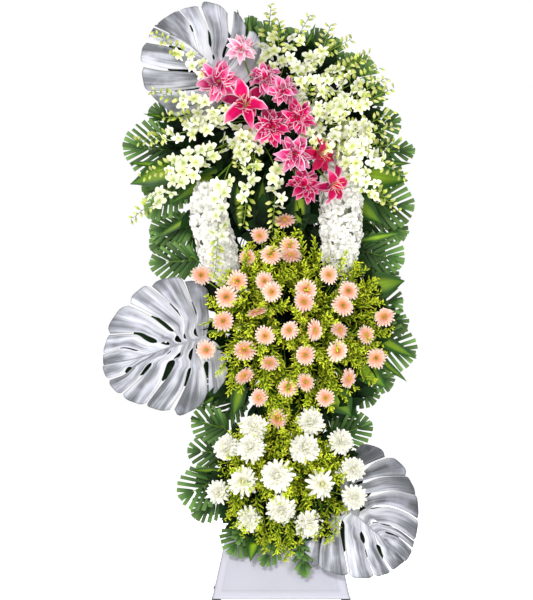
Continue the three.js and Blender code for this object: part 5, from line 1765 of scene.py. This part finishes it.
    def _spray(self, surface: Surface, finish: Petal, points: list, rng: Random, budding: float) -> None:
        """A spray: open florets on the inner part of its stem and buds, ever smaller, to its tip."""
        path = through(points, self.rows)
        run = run_of(path)
        length = run[-1]
        tube(surface, SPRAY_STEM, path[None, ::3], np.linspace(*self.stem, self.rows // 3), 6, rng.random())
        first_bud = length - budding
        florets = np.arange(0.4 * length, first_bud, self.apart)
        far = np.concatenate([florets, np.arange(first_bud, length - 0.003, 0.0105)])
        far = far + rng.normal(0, 0.002, len(far))
        place = sample(path, run, far)
        before, after = far - 0.004, np.minimum(far + 0.004, length)
        tangent = unit(sample(path, run, after) - sample(path, run, before))
        level = unit(np.cross(tangent, VIEWER))
        each = (len(far), 1)
        hand = np.where(np.arange(len(far)) % 2, 1.0, -1.0)[:, None] * rng.uniform(0.3, 1.2, each)
        forward = VIEWER * rng.uniform(0.1, 0.9, each)
        out = unit(level * hand + forward + tangent * rng.uniform(0.2, 0.9, each))
        left = length - far
        is_open = left > budding - 0.005 + rng.normal(0, 0.012, len(far))
        reach, radius = self.stalk
        stalk = np.where(is_open, reach, 0.005 + 0.07 * left)[:, None] * rng.uniform(0.7, 1.3, each)
        end = place + out * stalk
        tube(surface, SPRAY_STEM, bowed(place, end, tangent * 0.002, 4), radius, 4)
        closed = ~is_open
        self._buds(surface, end[closed], out[closed], tangent[closed], left[closed], rng)
        facing = unit(out[is_open] * 0.7 + VIEWER * 0.6 + rng.normal(0, 0.45, (is_open.sum(), 3)))
        least, gain = self.full
        size = self.size * (least + gain * np.clip(left[is_open] - 0.1, 0, 0.25))
        size = size * rng.uniform(0.85, 1.15, len(facing))
        self._florets(surface, finish, end[is_open], facing, size, rng)

    def _buds(
        self, surface: Surface, end: Array, out: Array, tangent: Array, left: Array,
        rng: Random,
    ) -> None:
        """Buds at the ends of their stalks, the shorter the less of the spray is left beyond them."""
        count = len(end)
        length = 0.0165 + 0.075 * left
        side = unit(np.cross(out, unit(np.cross(out, tangent))))
        self.BUD.grow(
            surface, ORCHID_BUD, end - out * 0.001, out, side, length,
            length * rng.uniform(0.27, 0.36, count), rise=rng.normal(0, 0.2, count), curl=0.3,
            tone=rng.random(count),
        )

    def _bunch(
        self, surface: Surface, middle: tuple, sector: tuple, reach: tuple, count: int,
        rng: Random,
    ) -> None:
        """Short sprays that fan out over the tier's bulge, their tips spread by the golden ratio."""
        tier = Level.TOP.value
        spread = (np.arange(count) * GOLDEN_ANGLE / (2 * math.pi)) % 1
        angle = np.radians(sector[0] + (sector[1] - sector[0]) * spread)
        out = reach[0] + (reach[1] - reach[0]) * np.sqrt(np.linspace(0.05, 1, count))
        x, z = middle[0] + out * np.cos(angle), middle[1] + out * np.sin(angle)
        tips, _ = tier.on(x, z, rng.uniform(-20, 16, count))
        halfway = (np.array([x, z]) + np.array(middle)[:, None]) / 2
        vias, _ = tier.on(halfway[0], halfway[1], rng.uniform(-14, 22, count))
        start = tier.root(
            "front", 0.4 * middle[0] + 0.6 * tier.foam_x, tier.foam_bottom + 0.6 * tier.foam_height
        )
        for via, tip in zip(vias, tips):
            self._spray(surface, ORCHID, [start, via, tip], rng, self.bunch_budding)


@dataclass(frozen=True)
class FloretColumns:
    """The two hanging columns of white florets beside the arch."""

    florets: int = 118  # in a column
    rows: int = 40  # points along its middle line
    core_rows: int = 24  # rings of its core

    PETAL = Blade((0.4, 0.9, 1.0, 0.6), thick=0.1, cup=0.25)
    PLAY = Play((0.88, 1.1), (0.9, 1.1), (-0.2, 0.4), (-0.5, 0.3), (-0.5, 0.5))
    RINGS = ((5, 0.0235, 0.0120, 0.1), (3, 0.0150, 0.0085, 0.6))  # petals, length, half width, rise
    COLUMNS = {
        "column_left": (("front", -18, 1524), (
            (-168, -98, 1375), (-168, -96, 1260), (-138, -84, 1150), (-108, -70, 1062),
        ), (60, 36)),
        "column_right": (("front", 158, 1524), (
            (285, -94, 1490), (268, -98, 1350), (272, -88, 1210), (260, -72, 1088),
        ), (68, 36)),
    }

    def build(self) -> None:
        """Winds florets round a core by the golden angle, from its top to its pointed end."""
        for _, values, surface, rng in pieces(self.COLUMNS, 1000, "orchid_white", "florets_"):
            root, line, (wide, deep) = values
            line = list(np.array(line) * MM)
            path = through(line, self.rows)
            share = (np.arange(self.florets) + 0.5) / self.florets
            spot = sample(path, np.linspace(0, 1, self.rows), share)
            tangent = unit(np.gradient(spot, axis=0))
            level = unit(np.cross(tangent, VIEWER))
            front = np.cross(level, tangent)
            angle = GOLDEN_ANGLE * np.arange(self.florets) + rng.normal(0, 0.12, self.florets)
            cosine, sine = np.cos(angle)[:, None], np.sin(angle)[:, None]
            flat = cosine * level * wide + sine * front * deep
            swell = self._swell(share, 0.48, 0.61, 0.05)
            place = spot + flat * swell[:, None] * 0.9 * MM
            outward = unit(cosine * level / wide + sine * front / deep)
            outward = unit(outward + rng.normal(0, 0.22, outward.shape) - UPWARD * 0.05)
            for petals, length, half, rise in self.RINGS:
                spots = spokes(place, outward, petals, rng.uniform(0, 6, len(place)), 0.001)
                self.PLAY.grow(self.PETAL, surface, COLUMN, spots, (length, half, rise, -0.3), rng)
            swell = self._swell(np.linspace(0, 1, self.core_rows), 0.47, 0.56, 0.03)
            radius = swell * deep * 0.8 * MM
            tube(surface, COLUMN_CORE, through(line, self.core_rows)[None], radius, 10)
            holder = through([Level.TOP.value.root(*root), path[0], path[3]], 10)
            tube(surface, STEM, holder[None], 0.003, 6)

    @staticmethod
    def _swell(share: Array, middle: float, half: float, least: float) -> Array:
        """The radius along a column as a share of its widest: sqrt(1 - ((share - middle) / half)^2)."""
        return np.sqrt(np.clip(1 - ((share - middle) / half) ** 2, least, 1))


@dataclass(frozen=True)
class Goldenrod:
    """Feathery goldenrod that fills the tiers between their flowers."""

    stem: tuple[float, float] = (0.0014, 0.0006)  # radius at a plume's base and tip
    twig_reach: float = 0.016  # how far twigs reach back towards the panel
    forward: float = 0.034  # how much further forward the hanging tufts end

    TWIG = Blade((0.4, 1.0, 0.25), thick=0.75, cup=0.0, round=True)
    LEAF = Blade((0.4, 1.0, 0.1), thick=0.1, cup=0.3)
    PLAY = Play((0.7, 1.25), (0.75, 1.25), (-0.3, 0.3), (-0.9, 0.2))
    HANG = np.array([0.0, 0.012, 0.095])  # from a hanging tuft's tip to where it starts

    # What grows on a plume: number, where it starts and ends, form, finish, length, half width, rise
    GROWTH = (
        (19, 0.15, 1.0, TWIG, GOLDEN, 0.034, 0.0032, 0.85),
        (4, 0.05, 0.7, LEAF, GOLDEN_LEAF, 0.034, 0.0035, 0.7),
    )
    FIELDS = {
        "goldenrod_mid_left": (Level.MID, (-24, 958), (83, 277), (300, 330), 152),
        "goldenrod_mid_right": (Level.MID, (158, 905), (-97, 97), (340, 320), 170),
        "goldenrod_low_left": (Level.LOW, (-10, 425), (83, 277), (242, 255), 138),
        "goldenrod_low_right": (Level.LOW, (150, 425), (-97, 97), (225, 235), 121),
    }

    # Tips [x, z] of the tufts that hang in front of the panel
    HANGING = {
        "goldenrod_low_left": (
            (17, 167), (50, 150), (77, 133), (-7, 200), (-40, 233), (-67, 260), (30, 190), (60, 178),
            (5, 230), (-90, 290), (-20, 250), (45, 215), (-112, 268), (-130, 300), (-84, 236), (-60, 214),
        ),
        "goldenrod_low_right": (
            (103, 153), (133, 193), (173, 220), (217, 177), (243, 200), (193, 200), (118, 175),
            (150, 240), (205, 215), (90, 200), (230, 240),
        ),
    }

    def build(self) -> None:
        """Spreads the plumes of each sector over its tier's bulge."""
        for name, values, surface, rng in pieces(self.FIELDS, 1100, "goldenrod", "plumes_"):
            level, root, sector, reach, count = values
            tier = level.value
            angle = np.radians(rng.uniform(*sector, count))
            out = np.sqrt(rng.uniform(0.01, 1, count))
            x = tier.x + out * reach[0] * np.cos(angle)
            z = tier.z + out * reach[1] * np.sin(angle)
            more = np.array(self.HANGING.get(name, ()), float).reshape(-1, 2)
            x, z = np.append(x, more[:, 0]), np.append(z, more[:, 1])
            count = len(x)
            tip, _ = tier.on(x, z, rng.uniform(-50, 22, count))
            tip[:, 1] = np.minimum(tip[:, 1], Stand.before_panel(tip[:, 2]) - self.twig_reach)
            start = tier.root("front", *root)
            heading = unit(tip - start)
            base = tip - heading * rng.uniform(0.075, 0.13, count)[:, None]
            hanging = np.arange(count) >= count - len(more)
            tip[hanging] += VIEWER * self.forward
            base[hanging] = tip[hanging] + self.HANG
            self._plumes(surface, base, tip, rng)
            tube(surface, GOLDEN_LEAF, bowed(start, base, rows=3), self.stem[0], 4)

    def _plumes(self, surface: Surface, base: Array, tip: Array, rng: Random) -> None:
        """Plumes: twigs leave the stem by the golden angle, and get shorter to its tip."""
        count = len(base)
        bow = rng.normal(0, 0.008, base.shape)
        tube(surface, GOLDEN_LEAF, bowed(base, tip, bow, 4), np.linspace(*self.stem, 4), 4)
        for twigs, low, high, blade, finish, length, half, rise in self.GROWTH:
            share = np.broadcast_to(np.linspace(low, high, twigs), (count, twigs))
            share = np.clip(share + rng.normal(0, 0.02, share.shape), 0, 1)
            stem = (tip - base)[:, None] * share[..., None] + base[:, None]
            stem = stem + bow[:, None] * np.sin(np.pi * share)[..., None]
            axis = np.broadcast_to(unit(tip - base)[:, None], stem.shape).reshape(-1, 3)
            level, upper = frames(axis)
            angle = (GOLDEN_ANGLE * np.arange(twigs) + rng.uniform(0, 6, (count, 1))).reshape(-1, 1)
            sideways = np.cos(angle) * level + np.sin(angle) * upper
            share = share.reshape(-1)
            light = np.repeat(rng.uniform(-0.25, 0.25, count), twigs)
            tone = np.clip(0.1 + 0.55 * share + light + rng.uniform(0, 0.3, len(axis)), 0, 1)
            spots = (stem.reshape(-1, 3), sideways, axis)
            shape = (length * (1 - 0.62 * share), half, rise, 0.0)
            self.PLAY.grow(blade, surface, finish, spots, shape, rng, tone)


# The stand and its setting


@dataclass(frozen=True)
class Stand:
    """Finishes for the stand, the trays and the foam, and the panel with its folded hem."""

    foot: tuple[float, float] = (-0.1912, 0.0123)  # the y and z of the panel's back at its solid's foot
    lean: float = 0.3577  # how far the panel leans back for each metre up
    splay: float = 0.2266  # how far its edges run inwards for each metre up
    top: float = 0.30  # plants higher than this needn't keep clear of it
    clear: float = 0.026  # how far in front of its back the lower ones keep
    board: float = 0.012  # thickness on the hem
    sunk: float = 0.002  # how much less it is inside
    hem: float = 0.024  # width of the hem
    edge: float = 0.002  # thickness at the very edge
    skirt: float = 0.0045  # the height that the sheet hangs down to in front of the feet
    behind_skirt: float = -0.1985  # the y of its back there

    STEEL = Plain("powder coat", "#eceef0", "#d5d7dc", 900.0, 0.0002, 0.35, 0.1)
    RUBBER = Plain("rubber", "#1a1a1b", "#2b2b2c", 700.0, 0.0004, 0.8)
    TRAY = Plain("green plastic", "#1f3d22", "#2b4d2e", 300.0, 0.0002, 0.5)
    FOAM = Plain("floral foam", "#2f5a34", "#3f6e42", 420.0, 0.0012, 0.95)
    CLOTH = Plain("panel sheet", "#c8c7d3", "#bfbecc", 600.0, 0.0002, 0.55, hem="#d0cfdb", rim="#9a9aa4")
    FINISHES = {"platform": STEEL, "mast": STEEL, "leg": STEEL, "foot": RUBBER, "tray": TRAY, "foam": FOAM}
    OVER = np.array([0.0, -0.135, 0.315])  # the y and z where stems pass over the panel

    @classmethod
    def back(cls, z: Array) -> Array:
        """The y of the panel's back at a height."""
        y, foot = cls.foot
        return y + cls.lean * (z - foot)

    @classmethod
    def before_panel(cls, z: Array) -> Array:
        """The y just in front of the panel at a height, and far back above the panel."""
        return np.where(z < cls.top, cls.back(z) - cls.clear, 1.0)

    def build(self, nodes: dict) -> None:
        """Gives each carried-over node its finish and builds the panel.

        Args:
            nodes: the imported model's objects by name.
        """
        for name, node in nodes.items():
            finish = self.FINISHES.get(name.split("_")[0])
            if finish:
                node.data.materials.clear()
                node.data.materials.append(finish.material())
                LOG.info("%s: %s", name, finish.name)
        self._panel()

    def _panel(self) -> None:
        """The panel: a sheet over a trapezoid, that hangs on below its solid in front of the feet.

        The sheet is 10 mm thick inside and 12 mm on the hem. Over the last 5 mm to its edge it
        rounds off to 2 mm, as a quarter of an ellipse does. Its marks are the share of the height,
        the rim's darker line of painted shade along the rounded edge, which fades over 3 mm from the edge,
        and the hem as the tone.
        """
        low, high = (np.array(corner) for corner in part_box("front_panel"))
        wide = (high[0] - low[0]) / 2 + self.splay * (low[2] - self.skirt)
        low[2] = self.skirt
        across = np.linspace(-1, 1, 81)
        up = np.linspace(0, 1, 51)
        z = (low[2] + (high[2] - low[2]) * up)[:, None]
        half = wide - self.splay * (z - low[2])
        x = (low[0] + high[0]) / 2 + half * across
        back = self.back(z) + 0 * x
        edge = np.minimum(half * (1 - np.abs(across)), np.minimum(z - low[2], high[2] - z) + 0 * x)
        body = self.board - self.sunk * smooth(edge, self.hem - 0.0015, self.hem + 0.0015)
        fold = np.sqrt(np.clip(1 - (1 - np.clip(edge / 0.005, 0, 1)) ** 2, 0, 1))
        wave = 0.0006 * np.sin(x * 31) * np.sin(z * 23) * smooth(edge, self.hem, 0.06)
        front = back - self.edge - (body - self.edge) * fold + wave
        back = np.where(z < 0.0125, np.minimum(back, self.behind_skirt), back)
        front = np.minimum(front, back - self.edge)
        ring = ringed(*(np.stack([x, y, z + 0 * x], -1) for y in (front, back)))
        hemmed = 1 - smooth(edge, self.hem - 0.001, self.hem + 0.001)
        rim = 1 - smooth(edge, 0.0, 0.003)
        rim_shades, tones = (ringed(share, share).reshape(1, -1) for share in (rim, hemmed))
        rows, width = ring.shape[:2]
        faces = [face[:, ::-1] for face in skin(rows, width)]
        surface = Surface()
        surface.add(ring.reshape(1, -1, 3), (np.repeat(up, width), rim_shades, tones), faces, self.CLOTH)
        surface.publish("hemmed_panel", "white_panel", "front_panel")


@dataclass(frozen=True)
class Lamp:
    """A square soft light that looks at the middle of the spray."""

    place: tuple[float, float, float]
    size: float
    power: float

    AIM = np.array([0.02, 0.0, 1.0])

    def build(self, name: str) -> None:
        """Hangs the light up."""
        data = bpy.data.lights.new(name, "AREA")
        data.size = self.size
        data.energy = self.power
        lamp = bpy.data.objects.new(name, data)
        lamp.location = self.place
        aim = self.AIM - np.array(self.place)
        tilt = math.acos(-aim[2] / np.linalg.norm(aim))
        lamp.rotation_euler = (tilt, 0, math.atan2(aim[1], aim[0]) - math.pi / 2)
        bpy.context.scene.collection.objects.link(lamp)


@dataclass(frozen=True)
class Studio:
    """A white room: floor, soft lights and the camera straight in front."""

    distance: float = 12.0  # of the camera from the middle of the spray
    tall: float = 2.0  # what the picture's height covers at the flowers
    sensor: float = 36.0  # width in millimetres
    aim: tuple[float, float] = (0.0217, 0.993)  # the x and z that the camera looks at

    AMBIENT = (0.30, 0.30, 0.31, 1.0)
    FLOOR = Plain("pale floor", "#ffffff", "#fbfbfc", 60.0, 0.0001, 0.6, glow=0.75)
    LAMPS = {
        "key": Lamp((-1.5, -4.8, 3.2), 1.4, 150.0),
        "fill": Lamp((2.8, -3.6, 1.6), 2.6, 26.0),
        "back": Lamp((1.6, 4.6, 3.0), 2.6, 110.0),
        "left": Lamp((-4.8, 0.9, 1.6), 2.2, 16.0),
        "right": Lamp((4.8, 0.9, 1.6), 2.2, 14.0),
    }

    def build(self) -> None:
        """Makes the camera, the white surroundings, the soft lights and the floor."""
        scene = bpy.context.scene
        data = bpy.data.cameras.new("camera")
        data.sensor_width = self.sensor
        data.lens = self.sensor * (self.distance - 0.1) / self.tall
        camera = bpy.data.objects.new("camera", data)
        camera.location = (self.aim[0], -self.distance, self.aim[1])
        camera.rotation_euler = (math.pi / 2, 0, 0)
        scene.collection.objects.link(camera)
        scene.camera = camera
        scene.view_settings.view_transform = "Standard"
        self._surroundings(scene)
        for name, lamp in self.LAMPS.items():
            lamp.build(name)
        self._floor()

    def _surroundings(self, scene: bpy.types.Scene) -> None:
        """A room that is white to look at, and lights the spray more softly than that."""
        world = bpy.data.worlds.new("white room")
        world.use_nodes = True
        tree = world.node_tree
        seen = tree.nodes["Background"]
        seen.inputs["Color"].default_value = (1, 1, 1, 1)
        lighting = tree.nodes.new("ShaderNodeBackground")
        lighting.inputs["Color"].default_value = self.AMBIENT
        rays = tree.nodes.new("ShaderNodeLightPath")
        blend = tree.nodes.new("ShaderNodeMixShader")
        tree.links.new(rays.outputs["Is Camera Ray"], blend.inputs["Fac"])
        tree.links.new(lighting.outputs[0], blend.inputs[1])
        tree.links.new(seen.outputs[0], blend.inputs[2])
        tree.links.new(blend.outputs[0], tree.nodes["World Output"].inputs["Surface"])
        scene.world = world

    def _floor(self) -> None:
        """A pale floor that the feet stand on."""
        far = 20.0
        mesh = bpy.data.meshes.new("floor")
        corners = [(-far, -far, 0), (far, -far, 0), (far, far, 0), (-far, far, 0)]
        mesh.from_pydata(corners, [], [(0, 1, 2, 3)])
        floor = bpy.data.objects.new("floor", mesh)
        mesh.materials.append(self.FLOOR.material())
        bpy.context.scene.collection.objects.link(floor)


def main() -> None:
    """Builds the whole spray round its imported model."""
    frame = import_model()
    Studio().build()
    Stand().build(frame["nodes"])
    for group in (
        SilverLeaves, PalmFronds, StripedLeaves, Backing, Gerberas, Chrysanthemums, Lilies, Orchids,
        FloretColumns, Goldenrod,
    ):
        group().build()


if __name__ == "__main__":
    logging.basicConfig(level=logging.INFO, format="%(name)s %(message)s")
    main()
